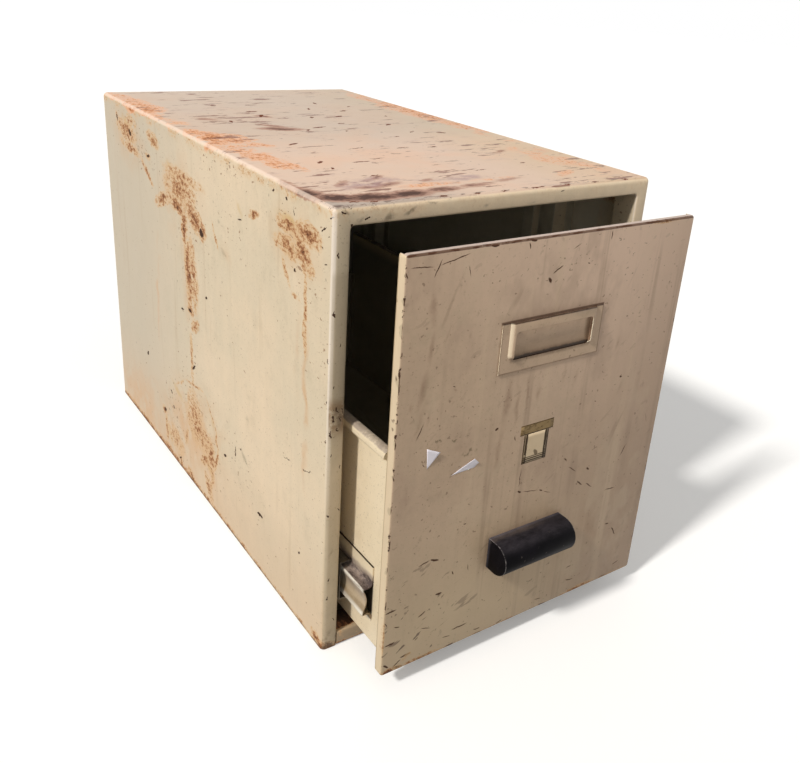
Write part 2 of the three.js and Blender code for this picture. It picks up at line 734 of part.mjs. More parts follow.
// A bevelled block on the plate, its foot a given distance inside the pocket's foot. The two lower corners are
// rounded, and the bevels turn over softly into the flat.
function pocketBlock(inset, raise, top) {
  const half = cardPocketWidth / 2 - inset;
  const low = cardPocketFoot + inset;
  const smallest = 0.3;
  const ring = (share, height) => {
    const bevel = share * cardBevel * raise;
    const radius = Math.max(cardPocketRadius - inset - bevel, smallest);
    const y = -height * raise;
    const corner = (sign) =>
      Array.from({ length: arcSteps + 1 }, (_, k) => {
        const turn = sign < 0 ? k / arcSteps : 1 - k / arcSteps;
        const angle = (turn * Math.PI) / 2;
        const x = sign * (half - bevel - radius + radius * Math.cos(angle));
        return new THREE.Vector3(x, y, low + bevel + radius - radius * Math.sin(angle));
      });
    const right = new THREE.Vector3(half - bevel, y, top);
    const left = new THREE.Vector3(-half + bevel, y, top);
    return [...corner(-1), ...corner(1), right, left];
  };
  return loft([ring(0, 0), ring(0.7, 0.85), ring(1, 1)]);
}

// Plate with a pocket pressed out of it, open at the top for the card, and a window with rounded corners.
function cardFrame() {
  const half = cardPlateWidth / 2;
  const plate = box(-half, half, -cardGauge, 0, 0, cardPlateHeight);
  const outside = pocketBlock(0, cardRaise + cardGauge, cardPlateHeight);
  const hollow = pocketBlock(cardGauge, cardRaise, cardPlateHeight + 1).translate([0, 0.01, 0]);
  const window = roundedRectangle(cardWindowWidth / 2, cardWindowHeight / 2, cardWindowRadius);
  const middle = cardWindowFoot + cardWindowHeight / 2;
  const cut = alongY(window, -cardRaise - 2 * cardGauge, 1).translate([0, 0, middle]);
  const made = plate.add(outside).subtract(hollow).subtract(cut);
  return made.translate([cardOffset, caseFront - seam, cardBottom]);
}

// ---- Assembly ------------------------------------------------------------------------------------------

const cabinet = new THREE.Group();
// Each moving group is shifted by its share of the drawer's opening.
const drawer = new THREE.Group();
drawer.position.y = -restOpening;
const middle = new THREE.Group();
middle.position.y = -restOpening / 2;
const innerCages = new THREE.Group();
innerCages.position.y = (-restOpening * 3) / 4;
const outerCages = new THREE.Group();
outerCages.position.y = -restOpening / 4;
cabinet.add(drawer, middle, innerCages, outerCages);

cabinet.add(
  meshOf("outer_wrap", outerWrap(), creamEnamel),
  meshOf("front_sill", frontSill(), creamEnamel),
  meshOf("floor_pan", floorPan(), creamEnamel),
  meshOf("back_panel", backPanel(), creamEnamel),
);
drawer.add(
  meshOf("drawer_face", drawerFace(), faceEnamel),
  meshOf("drawer_head", drawerHead(), creamEnamel),
  meshOf("drawer_bottom", drawerBottom(), creamEnamel),
  meshOf("drawer_back", drawerBack(), creamEnamel),
  meshOf("cup_pull", cupPull(), blackEnamel),
  meshOf("card_frame", cardFrame(), faceEnamel),
);
for (const [word, side] of [["left", -1], ["right", 1]]) {
  cabinet.add(
    meshOf(`${word}_front_upright`, upright(side, frontUprightSetback), creamEnamel),
    meshOf(`${word}_rear_upright`, upright(side, caseDepth - rearUprightGap - uprightRun), creamEnamel),
    meshOf(`${word}_case_member`, caseMember(side), greasySteel),
    meshOf(`${word}_buffer`, buffer(side), blackRubber),
  );
  outerCages.add(meshOf(`${word}_outer_ball_cage`, outerCage(side), bareSteel));
  middle.add(meshOf(`${word}_middle_member`, middleMember(side), greasySteel));
  innerCages.add(meshOf(`${word}_inner_ball_cage`, innerCage(side), bareSteel));
  drawer.add(
    meshOf(`${word}_drawer_rail`, drawerRail(side), greasySteel),
    meshOf(`${word}_drawer_side`, drawerSide(side), creamEnamel),
    meshOf(`${word}_pull_screw`, pullScrew(side), bareSteel),
  );
}

export default cabinet;
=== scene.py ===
import math

import bmesh
import bpy
from mathutils import Euler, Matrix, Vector


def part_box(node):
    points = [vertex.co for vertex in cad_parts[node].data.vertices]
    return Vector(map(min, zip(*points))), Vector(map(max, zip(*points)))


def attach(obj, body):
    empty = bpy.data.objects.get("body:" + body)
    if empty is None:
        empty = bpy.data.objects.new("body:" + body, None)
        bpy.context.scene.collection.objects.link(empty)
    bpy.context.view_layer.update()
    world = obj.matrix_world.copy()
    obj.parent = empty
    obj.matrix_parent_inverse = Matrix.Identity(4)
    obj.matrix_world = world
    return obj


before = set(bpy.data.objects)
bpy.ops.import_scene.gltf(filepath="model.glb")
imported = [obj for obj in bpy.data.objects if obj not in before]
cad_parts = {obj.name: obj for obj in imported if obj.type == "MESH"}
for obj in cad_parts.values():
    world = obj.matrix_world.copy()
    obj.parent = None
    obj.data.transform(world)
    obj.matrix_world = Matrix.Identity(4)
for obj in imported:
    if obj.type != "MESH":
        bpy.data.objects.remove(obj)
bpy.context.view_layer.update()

MM = 0.001
CREAM, DULL = "DBC7AB", "CFC0A6"    # the case's enamel, where it is fresh and where it has faded
CASE_MIDDLE = (0.0, 0.0, 0.23)
SHARP_ANGLE = 32    # degrees: a solid is smoothed over edges that turn less
WELD = 2e-6
SHEET_STEPS = 8
SHEET_GAP = 0.04    # millimetres of air between a thin sheet and the face
case_low, case_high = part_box("outer_wrap")
face_low, face_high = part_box("drawer_face")
plate_low, plate_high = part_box("card_frame")
pull_low, pull_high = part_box("cup_pull")
rail_low, rail_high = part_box("left_drawer_rail")
side_low, side_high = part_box("left_drawer_side")
sill_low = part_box("front_sill")[0]


# ---------------------------------------------------------------- nodes

def feed(tree, value, socket):
    """Links a field or a socket to a socket, or sets the socket to a plain value."""
    value = getattr(value, "socket", value)
    if isinstance(value, bpy.types.NodeSocket):
        tree.links.new(value, socket)
    else:
        socket.default_value = value


def add_node(tree, kind, *values, **named):
    """A new node. values go to its inputs in order. A name with a capital is an input, with _ for its
    spaces, and any other name is a setting of the node."""
    node = tree.nodes.new(kind)
    inputs = {name for name in named if name[0].isupper()}
    for name in named.keys() - inputs:
        setattr(node, name, named[name])
    for value, socket in zip(values, node.inputs):
        feed(tree, value, socket)
    for name in inputs:
        feed(tree, named[name], node.inputs[name.replace("_", " ")])
    return node


def blend(tree, factor, a, b):
    """The result of mixing two colours."""
    return add_node(tree, "ShaderNodeMix", data_type="RGBA", Factor=factor, A=a, B=b).outputs["Result"]


def in_scene(name, data):
    """A new object in the scene."""
    thing = bpy.data.objects.new(name, data)
    bpy.context.scene.collection.objects.link(thing)
    return thing


# ---------------------------------------------------------------- camera, lamps and floor

WHITE = (1.0, 1.0, 1.0, 1.0)
FLOOR_RADIUS = 14.0
FLOOR_GAP = 0.0005    # below the lowest solid
FLOOR_DIM, FLOOR_BRIGHT = (0.26, 0.255, 0.245, 1.0), (0.84, 0.84, 0.84, 1.0)
FLOOR_GLOW = 0.2


def make_camera():
    """From the front left and a little above the case, with a slight roll."""
    data = bpy.data.cameras.new("camera")
    data.lens, data.sensor_width = 38.89, 36.0
    data.shift_x, data.shift_y = -0.0375, -0.0604
    data.clip_start, data.clip_end = 0.02, 60.0
    camera = in_scene("camera", data)
    camera.location = (-0.5300, -0.9335, 0.6449)
    camera.rotation_euler = Euler([math.radians(a) for a in (67.434, -4.006, -34.721)])
    bpy.context.scene.camera = camera


def make_sun(name, towards, strength, softness, tint):
    """A broad distant lamp. towards is the direction from the object to the lamp, and softness is the
    lamp's width in degrees."""
    data = bpy.data.lights.new(name, "SUN")
    data.energy, data.angle, data.color = strength, math.radians(softness), tint
    lamp = in_scene(name, data)
    lamp.rotation_mode = "QUATERNION"
    lamp.rotation_quaternion = Vector(towards).to_track_quat("Z", "Y")


def seen_directly(tree):
    """1 for a ray from the camera, or one that a mirror or glass passes on, and 0 for the rest."""
    path = add_node(tree, "ShaderNodeLightPath").outputs
    total = path["Is Camera Ray"]
    for other in ("Is Glossy Ray", "Is Transmission Ray"):
        total = add_node(tree, "ShaderNodeMath", total, path[other], operation="MAXIMUM").outputs[0]
    return total


def make_world(ambient):
    """An even surround of the ambient colour, white where it is seen directly."""
    world = bpy.context.scene.world = bpy.data.worlds.new("studio")
    world.use_nodes = True
    tree = world.node_tree
    tone = blend(tree, seen_directly(tree), (*ambient, 1.0), WHITE)
    tree.links.new(tone, tree.nodes["Background"].inputs["Color"])


def make_floor():
    """A pale round floor. It looks white to the camera, keeps the shadow, and sends back less light."""
    mesh = bpy.data.meshes.new("floor")
    form = bmesh.new()
    bmesh.ops.create_circle(form, cap_ends=True, segments=96, radius=FLOOR_RADIUS)
    form.to_mesh(mesh)
    form.free()
    floor = in_scene("floor", mesh)
    floor.location.z = -FLOOR_GAP
    material = bpy.data.materials.new("studio_floor")
    material.use_nodes = True
    tree = material.node_tree
    tree.nodes.clear()
    seen = seen_directly(tree)
    diffuse = add_node(tree, "ShaderNodeBsdfDiffuse", Color=blend(tree, seen, FLOOR_DIM, FLOOR_BRIGHT))
    lift = add_node(tree, "ShaderNodeMath", seen, FLOOR_GLOW, operation="MULTIPLY")
    glow = add_node(tree, "ShaderNodeEmission", Color=WHITE, Strength=lift.outputs[0])
    both = add_node(tree, "ShaderNodeAddShader", diffuse.outputs[0], glow.outputs[0])
    add_node(tree, "ShaderNodeOutputMaterial", Surface=both.outputs[0])
    mesh.materials.append(material)


# ---------------------------------------------------------------- a small language for materials

def linear(colour):
    """A colour written as six hexadecimal digits, in the linear values that Blender takes. Anything else
    is passed on."""
    if not isinstance(colour, str):
        return colour
    parts = [int(colour[i:i + 2], 16) / 255 for i in (0, 2, 4)]
    return (*[c / 12.92 if c <= 0.04045 else ((c + 0.055) / 1.055) ** 2.4 for c in parts], 1.0)


class Field:
    """One value over a surface, written with ordinary arithmetic. size is how far it is from 0, and off
    is how far it is from the middle between two values."""

    def __init__(self, paint, socket):
        self.paint, self.socket = paint, socket

    def __add__(self, other): return self.paint.math("ADD", self, other)
    def __sub__(self, other): return self.paint.math("SUBTRACT", self, other)
    def __rsub__(self, other): return self.paint.math("SUBTRACT", other, self)
    def __mul__(self, other): return self.paint.math("MULTIPLY", self, other)
    def size(self): return self.paint.math("ABSOLUTE", self)
    def off(self, low, high): return (self - (low + high) / 2).size()
    def most(self, other): return self.paint.math("MAXIMUM", self, other)
    def least(self, other): return self.paint.math("MINIMUM", self, other)
    __radd__, __rmul__ = __add__, __mul__

    def ramp(self, low, high):
        """0 below low, 1 above high, and a smooth step between them. low may be the larger one."""
        first, last = (1.0, 0.0) if low > high else (0.0, 1.0)
        node = self.paint.node("ShaderNodeMapRange", interpolation_type="SMOOTHSTEP", Value=self,
                               From_Min=min(low, high), From_Max=max(low, high), To_Min=first, To_Max=last)
        return Field(self.paint, node.outputs["Result"])


class Paint:
    """A material under construction: its node tree, the point on the object as (x, y, z), which way the
    surface faces as (nx, ny, nz), and the colour so far."""

    def __init__(self, name):
        self.material = bpy.data.materials.new(name)
        self.material.use_nodes = True
        self.tree = self.material.node_tree
        self.shader = self.tree.nodes["Principled BSDF"]
        coordinates = self.node("ShaderNodeTexCoord").outputs
        self.point = coordinates["Object"]
        self.x, self.y, self.z = self.split(self.point)
        self.nx, self.ny, self.nz = self.split(coordinates["Normal"])
        self.colour = None

    def node(self, kind, *values, **named):
        return add_node(self.tree, kind, *values, **named)

    def split(self, vector):
        return [Field(self, s) for s in self.node("ShaderNodeSeparateXYZ", vector).outputs]

    def math(self, operation, *values):
        return Field(self, self.node("ShaderNodeMath", *values, operation=operation).outputs[0])

    def placed(self, long=(1, 1, 1), turn=(0, 0, 0), seed=0.0):
        """The point, moved by seed, turned, and then divided by long, so noise there is drawn out."""
        return self.node("ShaderNodeMapping", vector_type="TEXTURE", Vector=self.point, Scale=long,
                         Rotation=[math.radians(a) for a in turn],
                         Location=(seed * 0.17, seed * -0.23, seed * 0.31)).outputs["Vector"]

    def noise(self, scale, detail=4, rough=0.7, **place):
        """Cloudy noise from 0 to 1 and about 0.5 on average, with 1 / scale metres between clouds."""
        return Field(self, self.node("ShaderNodeTexNoise", Vector=self.placed(**place), Scale=scale,
                                     Detail=detail, Roughness=rough).outputs["Fac"])

    def shaken(self, reach, scale, seed, at=None):
        """The point moved about by noise, so that what is drawn there gets a ragged outline."""
        cloud = self.node("ShaderNodeTexNoise", Vector=self.placed(seed=seed), Scale=scale, Detail=3)
        step = self.node("ShaderNodeMapping", Vector=cloud.outputs["Color"], Location=(-reach,) * 3,
                         Scale=(reach * 2,) * 3)
        return self.node("ShaderNodeMapping", Vector=at or self.point,
                         Location=step.outputs["Vector"]).outputs["Vector"]

    def strokes(self, face, marks, at=None):
        """Brush strokes on one side, each of its strength along its middle and 0 at its edge. A mark is
        from a, from b, to a, to b, half width and strength, in millimetres as face.stroke reads them."""
        total = None
        for *line, width, strength in marks:
            middle, turn, reach = face.stroke(*line, width)
            spot = self.node("ShaderNodeMapping", vector_type="TEXTURE", Vector=at or self.point,
                             Location=middle, Rotation=turn, Scale=reach).outputs["Vector"]
            cone = self.node("ShaderNodeTexGradient", gradient_type="SPHERICAL", Vector=spot)
            part = Field(self, cone.outputs["Fac"]) * strength
            total = part.most(total) if total else part
        return total

    def mix(self, factor, a, b):
        return Field(self, blend(self.tree, factor, linear(a), linear(b)))

    def lay(self, factor, tone):
        """Another tone over the colour so far, where factor is high."""
        self.colour = self.mix(factor, self.colour, tone)

    def tinted(self, colour, value):
        """A colour made lighter or darker by a value over the surface."""
        node = self.node("ShaderNodeHueSaturation", Color=linear(colour), Value=value)
        return Field(self, node.outputs["Color"])

    def bump(self, height, distance):
        bumped = self.node("ShaderNodeBump", Strength=1.0, Distance=distance, Height=height)
        feed(self.tree, bumped.outputs["Normal"], self.shader.inputs["Normal"])

    def done(self, rough, metal=0.0, mirror=0.5):
        """The material, with the colour so far, its roughness, and how strongly it mirrors."""
        for name, value in (("Base Color", self.colour), ("Roughness", rough), ("Metallic", metal),
                            ("Specular IOR Level", mirror)):
            feed(self.tree, value, self.shader.inputs[name])
        return self.material

    def folds(self):
        """1 along rounded edges, where the surface turns from one main direction to another."""
        turning = (self.nx * self.ny).size().most((self.ny * self.nz).size()).most((self.nx * self.nz).size())
        return turning.ramp(0.14, 0.40)


class Face:
    """One flat side of the object, with its own pair of measures in millimetres: depth from the case's
    front or x, and then height or depth."""

    THICK = 7.0    # how far a stroke reaches off its side

    def __init__(self, normal, level, start=0.0):
        self.normal, self.level, self.start = normal, level, start

    def stroke(self, a0, b0, a1, b1, width):
        """Middle, turn and reach of a stroke, in the object's own space."""
        length = math.hypot(a1 - a0, b1 - b0) / 2 + width
        a, b = (a0 + a1) / 2 * MM, (b0 + b1) / 2 * MM
        tilt = math.atan2(b1 - b0, a1 - a0)
        spot, turn, reach = {
            "x": ((self.level, self.start + a, b), (tilt, 0, 0), (self.THICK, length, width)),
            "y": ((a, self.level, b), (0, -tilt, 0), (length, self.THICK, width)),
            "z": ((a, self.start + b, self.level), (0, 0, tilt), (length, width, self.THICK)),
        }[self.normal]
        return spot, turn, [r * MM for r in reach]


LEFT = Face("x", case_low.x, case_low.y)
RIGHT = Face("x", case_high.x, case_low.y)
TOP = Face("z", case_high.z, case_low.y)
FRONT = Face("y", face_low.y)
CASE_FRONT = Face("y", case_low.y)


# ---------------------------------------------------------------- old enamel and rust

def enamel(paint, base, dull, runs=0.08, mottle=0.13, seed=0, grime=0.22):
    """Old stove enamel as a paint's first colour: slow drifts, fine mottling, clouds of thin grime, fine
    pinpricks, and faint runs down the upright sides."""
    drift = paint.noise(4.5, 4, 0.6, seed=3 + seed).ramp(0.36, 0.64)
    paint.colour = paint.mix(drift, base, dull)
    fine = paint.noise(110, 5, 0.76, seed=11 + seed)
    run = paint.noise(75, 3, 0.62, long=(1, 1, 30), seed=5 + seed)
    paint.colour = paint.tinted(paint.colour, fine * mottle + run * runs + (1 - (mottle + runs) / 2))
    cloud = paint.noise(24, 5, 0.74, seed=13 + seed).ramp(0.50, 0.72)
    paint.lay(cloud * grime, "A39378")
    prick = paint.noise(420, 2, 0.5, seed=15 + seed).ramp(0.63, 0.69)
    paint.lay(prick * 0.30, "8E7B5F")


def corroded(paint, field, seed=0, orange=False):
    """Rust over the colour so far. field is 0 on sound paint and about 1 where the rust is through.
    Gives how much of the surface is rust."""
    near = field.ramp(0.0, 0.16)
    speck = paint.noise(230, 4, 0.8, long=(1, 1.7, 1), seed=21 + seed)
    clump = paint.noise(70, 5, 0.78, long=(1, 1.2, 1.2), seed=23 + seed)
    level = field * 1.05 + (speck * 3.8 + clump * 1.8 - 2.80) * near
    tan, brown = ("E0A87F", "C98A5E") if orange else ("CDAA7F", "A97850")
    paint.lay(level.ramp(-0.30, 0.40) * near * 0.8, tan)
    paint.lay(level.ramp(0.36, 0.66) * 0.85, brown)
    paint.lay(level.ramp(0.76, 1.00) * 0.88, "A8673E" if orange else "7C4E33")
    paint.lay(level.ramp(1.22, 1.42) * 0.88, "4A3020")
    return level.ramp(0.4, 0.85)


def chipped(paint, field, low, high, tone):
    """Bare or dirty spots with a hard edge where field is high. Gives the spots."""
    bare = field.ramp(low, high)
    paint.lay(bare, tone)
    return bare


def specks(paint, scale, amount, seed):
    """Scattered small spots: 1 in a spot. amount is about the share of the surface, from 0 to 1."""
    edge = 0.74 - amount
    return paint.noise(scale, 2, 0.5, seed=seed).ramp(edge, edge + 0.03)


def inward(paint, middle):
    """1 on a face that looks at a middle point, and 0 on one that looks away from it."""
    facing = (paint.nx * (paint.x - middle[0]) + paint.ny * (paint.y - middle[1])
              + paint.nz * (paint.z - middle[2]))
    return facing.ramp(0.002, -0.002)


# Marks in millimetres: from a and b, to a and b, half width, and strength.
# Left side: a is the depth from the case's front, and b is the height.
LEFT_RUST = [
    (452, 359, 405, 376, 11, 1), (405, 377, 352, 370, 13, 1.1), (400, 396, 335, 394, 28, .85),
    (425, 412, 288, 410, 9, .70), (345, 382, 300, 361, 17, 1.1), (303, 361, 297, 360, 14, 1.15),
    (357, 372, 355, 330, 12, 1.15), (352, 345, 343, 250, 13, 1.15), (335, 335, 328, 262, 17, .72),
    (347, 250, 340, 249, 9, 1.2), (340, 231, 322, 238, 9, .9), (346, 225, 347, 140, 6, .62),
    (592, 432, 530, 426, 17, .85), (585, 410, 505, 405, 8, 1), (505, 404, 462, 376, 6.5, .85),
    (600, 448, 598, 436, 6, .9), (472, 438, 438, 432, 11, .76), (482, 411, 470, 411, 6, 1),
    (560, 446, 520, 442, 9, .7), (60, 430, 26, 427, 13, 1.1), (62, 416, 44, 400, 15, 1.05),
    (104, 427, 62, 425, 8, 1), (108, 408, 62, 406, 12, .78), (168, 415, 148, 419, 5.5, 1),
    (48, 400, 47, 305, 4.5, .75), (96, 392, 78, 366, 4, .7), (78, 366, 58, 362, 3.5, .6),
    (288, 90, 291, 58, 11, 1), (298, 63, 324, 53, 9, .9), (410, 124, 372, 145, 2.6, .6),
    (372, 146, 308, 156, 2.6, .7), (306, 155, 276, 124, 2.6, .7), (276, 124, 268, 92, 3, .75),
    (268, 96, 282, 60, 5, .9), (284, 62, 296, 18, 5, .7), (466, 63, 460, 62, 7, 1.2),
    (372, 72, 381, 48, 6, .95), (455, 58, 456, 18, 8, .65), (470, 5, 432, 3, 9, 1.2),
    (372, 12, 352, 2, 9, 1.2), (412, 16, 400, 8, 5, 1), (345, 118, 338, 100, 30, .72),
    (310, 36, 296, 14, 12, .8), (20, 8, 0, 3, 8, 1.1), (360, 96, 300, 84, 30, .62),
    (268, 380, 252, 352, 3.5, .7), (440, 40, 400, 30, 22, .55), (560, 4, 520, 3, 8, 1),
]
LEFT_STAIN = [
    (420, 62, 300, 100, 95, .9), (400, 380, 330, 392, 75, .65), (348, 345, 340, 235, 36, .75),
    (610, 425, 500, 418, 58, .66), (105, 415, 45, 410, 50, .65), (656, 10, 470, 40, 85, .75),
    (47, 400, 43, 90, 7, .75), (62, 380, 60, 240, 6, .4), (656, 20, 200, 0, 60, .5),
    (449, 348, 472, 132, 7, .75), (300, 120, 296, 10, 34, .9), (241, 366, 225, 350, 14, .5),
    (350, 120, 330, 60, 60, .7),
]
LEFT_OCHRE = [
    (110, 432, 56, 431, 7, 1), (88, 430, 84, 429, 8, .9), (578, 448, 540, 430, 8, .8),
    (470, 440, 444, 430, 8, .8), (410, 421, 378, 402, 9, .7), (200, 423, 186, 403, 6, .6),
    (424, 122, 382, 108, 9, .8), (460, 50, 438, 20, 10, .7), (318, 62, 284, 50, 9, .9),
    (352, 222, 340, 186, 6, .6), (360, 345, 346, 260, 10, .5), (300, 150, 268, 100, 6, .5),
]
LEFT_SPECKS = [
    (375, 150, 290, 60, 55, 1), (440, 110, 400, 30, 50, .9), (345, 240, 342, 150, 22, .9),
    (400, 400, 300, 350, 60, .9), (350, 350, 335, 240, 34, .9), (600, 440, 440, 400, 40, .9),
    (100, 430, 30, 380, 34, 1), (340, 440, 120, 455, 20, .8), (260, 140, 160, 80, 46, .5),
    (24, 455, 2, 200, 16, .8), (260, 400, 180, 380, 40, .5),
]
LEFT_CHIPS = [
    (347, 171, 334, 181, 3.0, 1.2), (156, 74, 141, 77, 3.6, 1.2), (250, 100, 243, 102, 2.8, 1),
    (481, 411, 470, 411, 3.2, 1), (526, 121, 521, 123, 3.6, 1), (294, 283, 290, 285, 3.4, 1),
    (71, 387, 68, 389, 2.4, 1), (198, 402, 188, 404, 2, 1), (203, 132, 198, 134, 2.6, .8),
    (380, 240, 366, 245, 2, .9), (410, 10, 402, 16, 2.4, 1), (22, 437, 10, 445, 1.1, .9),
    (8, 436, 5, 438, 1.1, .9), (6, 452, 2, 455, 1.3, 1.1), (5, 240, 3, 243, 1, .9),
    (6, 118, 4, 119, 1.2, .9), (54, 86, 52, 88, 2.6, .9), (350, 250, 342, 249, 4, 1),
    (462, 63, 457, 62, 5, 1), (303, 360, 298, 358, 7, 1.1), (548, 429, 544, 426, 5, 1),
    (600, 440, 597, 436, 4, 1), (432, 104, 426, 102, 3, .8), (425, 84, 418, 82, 3, .8),
    (216, 134, 214, 112, 1.5, .9), (104, 180, 60, 186, 1.1, .6), (60, 186, 18, 199, 1.2, .7),
    (14, 410, 8, 412, .9, .9), (20, 426, 16, 424, .9, .9), (12, 400, 10, 394, .9, .8),
    (4, 326, 3, 320, 1.1, .8), (4, 284, 3, 281, 1.1, .8), (90, 452, 84, 448, 2.2, .9),
    (118, 450, 112, 452, 2, .8), (74, 446, 70, 438, 1.6, .8),
]
LEFT_SMEARS = [(200, 134, 178, 118, 5, .6), (250, 388, 246, 388, 4, .5), (182, 180, 176, 182, 6, .3),
               (330, 230, 318, 236, 7, .5), (244, 360, 228, 352, 5, .4)]

# Top: a is across from the middle, and b is the depth from the case's front.
TOP_RUST = [
    (-178, 350, -168, 262, 30, 1), (-168, 300, -140, 268, 26, .85), (-172, 262, -160, 160, 20, .72),
    (-166, 178, -156, 140, 15, 1), (-188, 650, -180, 390, 30, .85), (176, 640, 178, 180, 30, .75),
    (160, 172, 150, 90, 34, .45), (44, 52, -10, 42, 9, .6), (-20, 44, -100, 44, 9, .4),
    (120, 60, 98, 40, 10, .5), (150, 120, 168, 40, 18, .35), (-176, 356, -150, 280, 26, .9),
]
TOP_DIRT = [
    (-190, 110, -190, 66, 9, 1), (-190, 70, -182, 36, 15, 1.6), (-184, 36, -158, 24, 18, 2.0),
    (-162, 24, -118, 21, 18, 2.1), (-124, 21, -80, 24, 16, 1.8), (-86, 24, -40, 29, 12, 1.3),
    (-46, 29, 4, 34, 10, .9), (0, 36, 52, 46, 8, .6), (-150, 66, -132, 84, 8, 1),
    (-114, 54, -86, 64, 9, 1.1), (-140, 58, -112, 52, 9, .9), (-106, 80, -88, 94, 6, 1),
    (-62, 60, -48, 67, 6, .7), (-96, 352, -50, 336, 15, 1.3), (-84, 376, -60, 350, 11, 1),
    (-60, 436, -50, 426, 10, 1.1), (-142, 430, -120, 416, 14, .6), (128, 168, 98, 150, 8, .6),
]
TOP_CHIPS = [
    (-121, 158, -112, 168, 3.1, 1.2), (-121, 130, -116, 138, 2.5, 1), (-112, 395, -108, 410, 3.1, 1),
    (-62, 425, -50, 447, 3.7, 1), (-65, 468, -45, 470, 4.3, 1), (-44, 520, -22, 522, 3.7, .9),
    (-92, 524, -80, 520, 3.7, .8), (64, 515, 68, 532, 3.1, .9), (30, 470, 38, 486, 2.8, .9),
    (68, 452, 82, 458, 4.3, .9), (40, 412, 52, 418, 4.3, 1), (98, 485, 106, 492, 3.7, .8),
    (72, 340, 84, 348, 3.7, .9), (76, 288, 84, 296, 3.1, .9), (108, 282, 124, 276, 3.7, .9),
    (-34, 342, -8, 348, 3.7, 1), (14, 364, 28, 366, 3.1, .9), (-47, 328, -40, 334, 3.1, .9),
    (0, 406, 8, 420, 2.5, .9), (-3, 206, 25, 209, 2.2, .9), (41, 204, 58, 202, 2.2, .9),
    (-62, 214, -24, 222, 2.2, .8), (-89, 153, -60, 155, 2.5, 1), (-102, 93, -86, 98, 2.5, 1),
    (-66, 163, -30, 166, 1.9, .7), (92, 100, 104, 102, 2.5, .7), (46, 200, 56, 208, 2.5, .7),
    (106, 158, 128, 165, 3.7, .6), (-4, 312, 4, 318, 2.5, .7), (50, 270, 36, 268, 2.5, .7),
    (110, 402, 116, 410, 3.1, .7), (160, 480, 168, 484, 3.1, .7), (-20, 120, 10, 118, 1.9, .6),
    (10, 84, 44, 86, 1.9, .7), (120, 74, 150, 70, 1.9, .6), (-110, 250, -90, 262, 3.7, .8),
]
# The top again, along its front fold.
FRONT_CHIPS = [
    (-152, 8, -143, 9, 2.2, 1), (-118, 7, -110, 7, 1.8, .9), (-84, 5, -70, 6, 2.2, 1),
    (-44, 4, -34, 5, 2.0, 1), (-12, 4, -4, 4, 1.8, .9), (24, 4, 46, 5, 2.4, 1.1),
    (70, 5, 78, 5, 1.6, .9), (104, 5, 122, 4, 1.7, .9), (150, 4, 160, 4, 1.8, .9),
    (-170, 14, -158, 12, 3.4, .8),
]
# Right side, measured like the left one.
RIGHT_RUST = [
    (90, 440, 20, 432, 14, .9), (160, 445, 120, 440, 8, .7), (64, 424, 60, 330, 6, .6),
    (420, 440, 330, 436, 14, .7), (380, 430, 372, 330, 9, .6), (600, 446, 520, 440, 14, .8),
    (560, 30, 470, 8, 16, .9), (240, 14, 130, 4, 12, .9), (640, 200, 636, 120, 8, .5),
    (30, 20, 5, 4, 14, 1), (300, 120, 286, 108, 8, .7), (470, 250, 462, 236, 8, .6),
]
RIGHT_CHIPS = [(210, 300, 196, 304, 3, .9), (420, 190, 405, 188, 3, .8), (90, 120, 84, 130, 3, .8),
               (520, 330, 512, 326, 4, .8), (330, 60, 318, 62, 3, .8), (140, 370, 132, 368, 3, .8)]

# The case's front frame: a is across from the middle, and b is the height.
FRAME_SMEARS = [
    (-142, 449, -130, 454, 5, .9), (-122, 452, -108, 458, 3, .8), (-168, 447, -160, 452, 4, .8),
    (-182, 460, -176, 456, 4, .8), (-100, 460, -84, 459, 2, .7), (-36, 450, -28, 451, 3, .5),
    (-182, 276, -179, 256, 7, 1.2), (-178, 142, -176, 132, 2, .6), (-184, 124, -184, 112, 3, .6),
    (14, 450, 34, 449, 2, .5),
]
FRAME_CHIPS = [
    (-183, 459, -180, 457, 1.1, 1), (-172, 445, -174, 447, 1.3, 1), (-160, 451, -157, 453, 1.1, 1),
    (-186, 424, -186, 420, .9, .9), (-187, 164, -187, 161, .9, 1), (-186, 66, -186, 62, .9, 1),
    (-185, 88, -185, 85, 1, .9), (-176, 168, -176, 165, .9, .9), (-179, 38, -178, 34, 1, .9),
    (-186, 230, -186, 227, .8, 1), (-176, 216, -176, 213, .9, .9), (-186, 300, -186, 297, .8, 1),
    (-180, 340, -180, 338, .9, .9), (-187, 372, -187, 366, .9, 1), (62, 459, 66, 459, .9, .8),
    (-183, 279, -180, 273, 1, .9), (-186, 270, -184, 262, 1.1, .9), (-180, 266, -177, 263, .9, .9),
    (-182, 257, -180, 252, .9, .8), (-177, 276, -176, 270, .8, .8), (-188, 256, -187, 246, .8, .8),
]


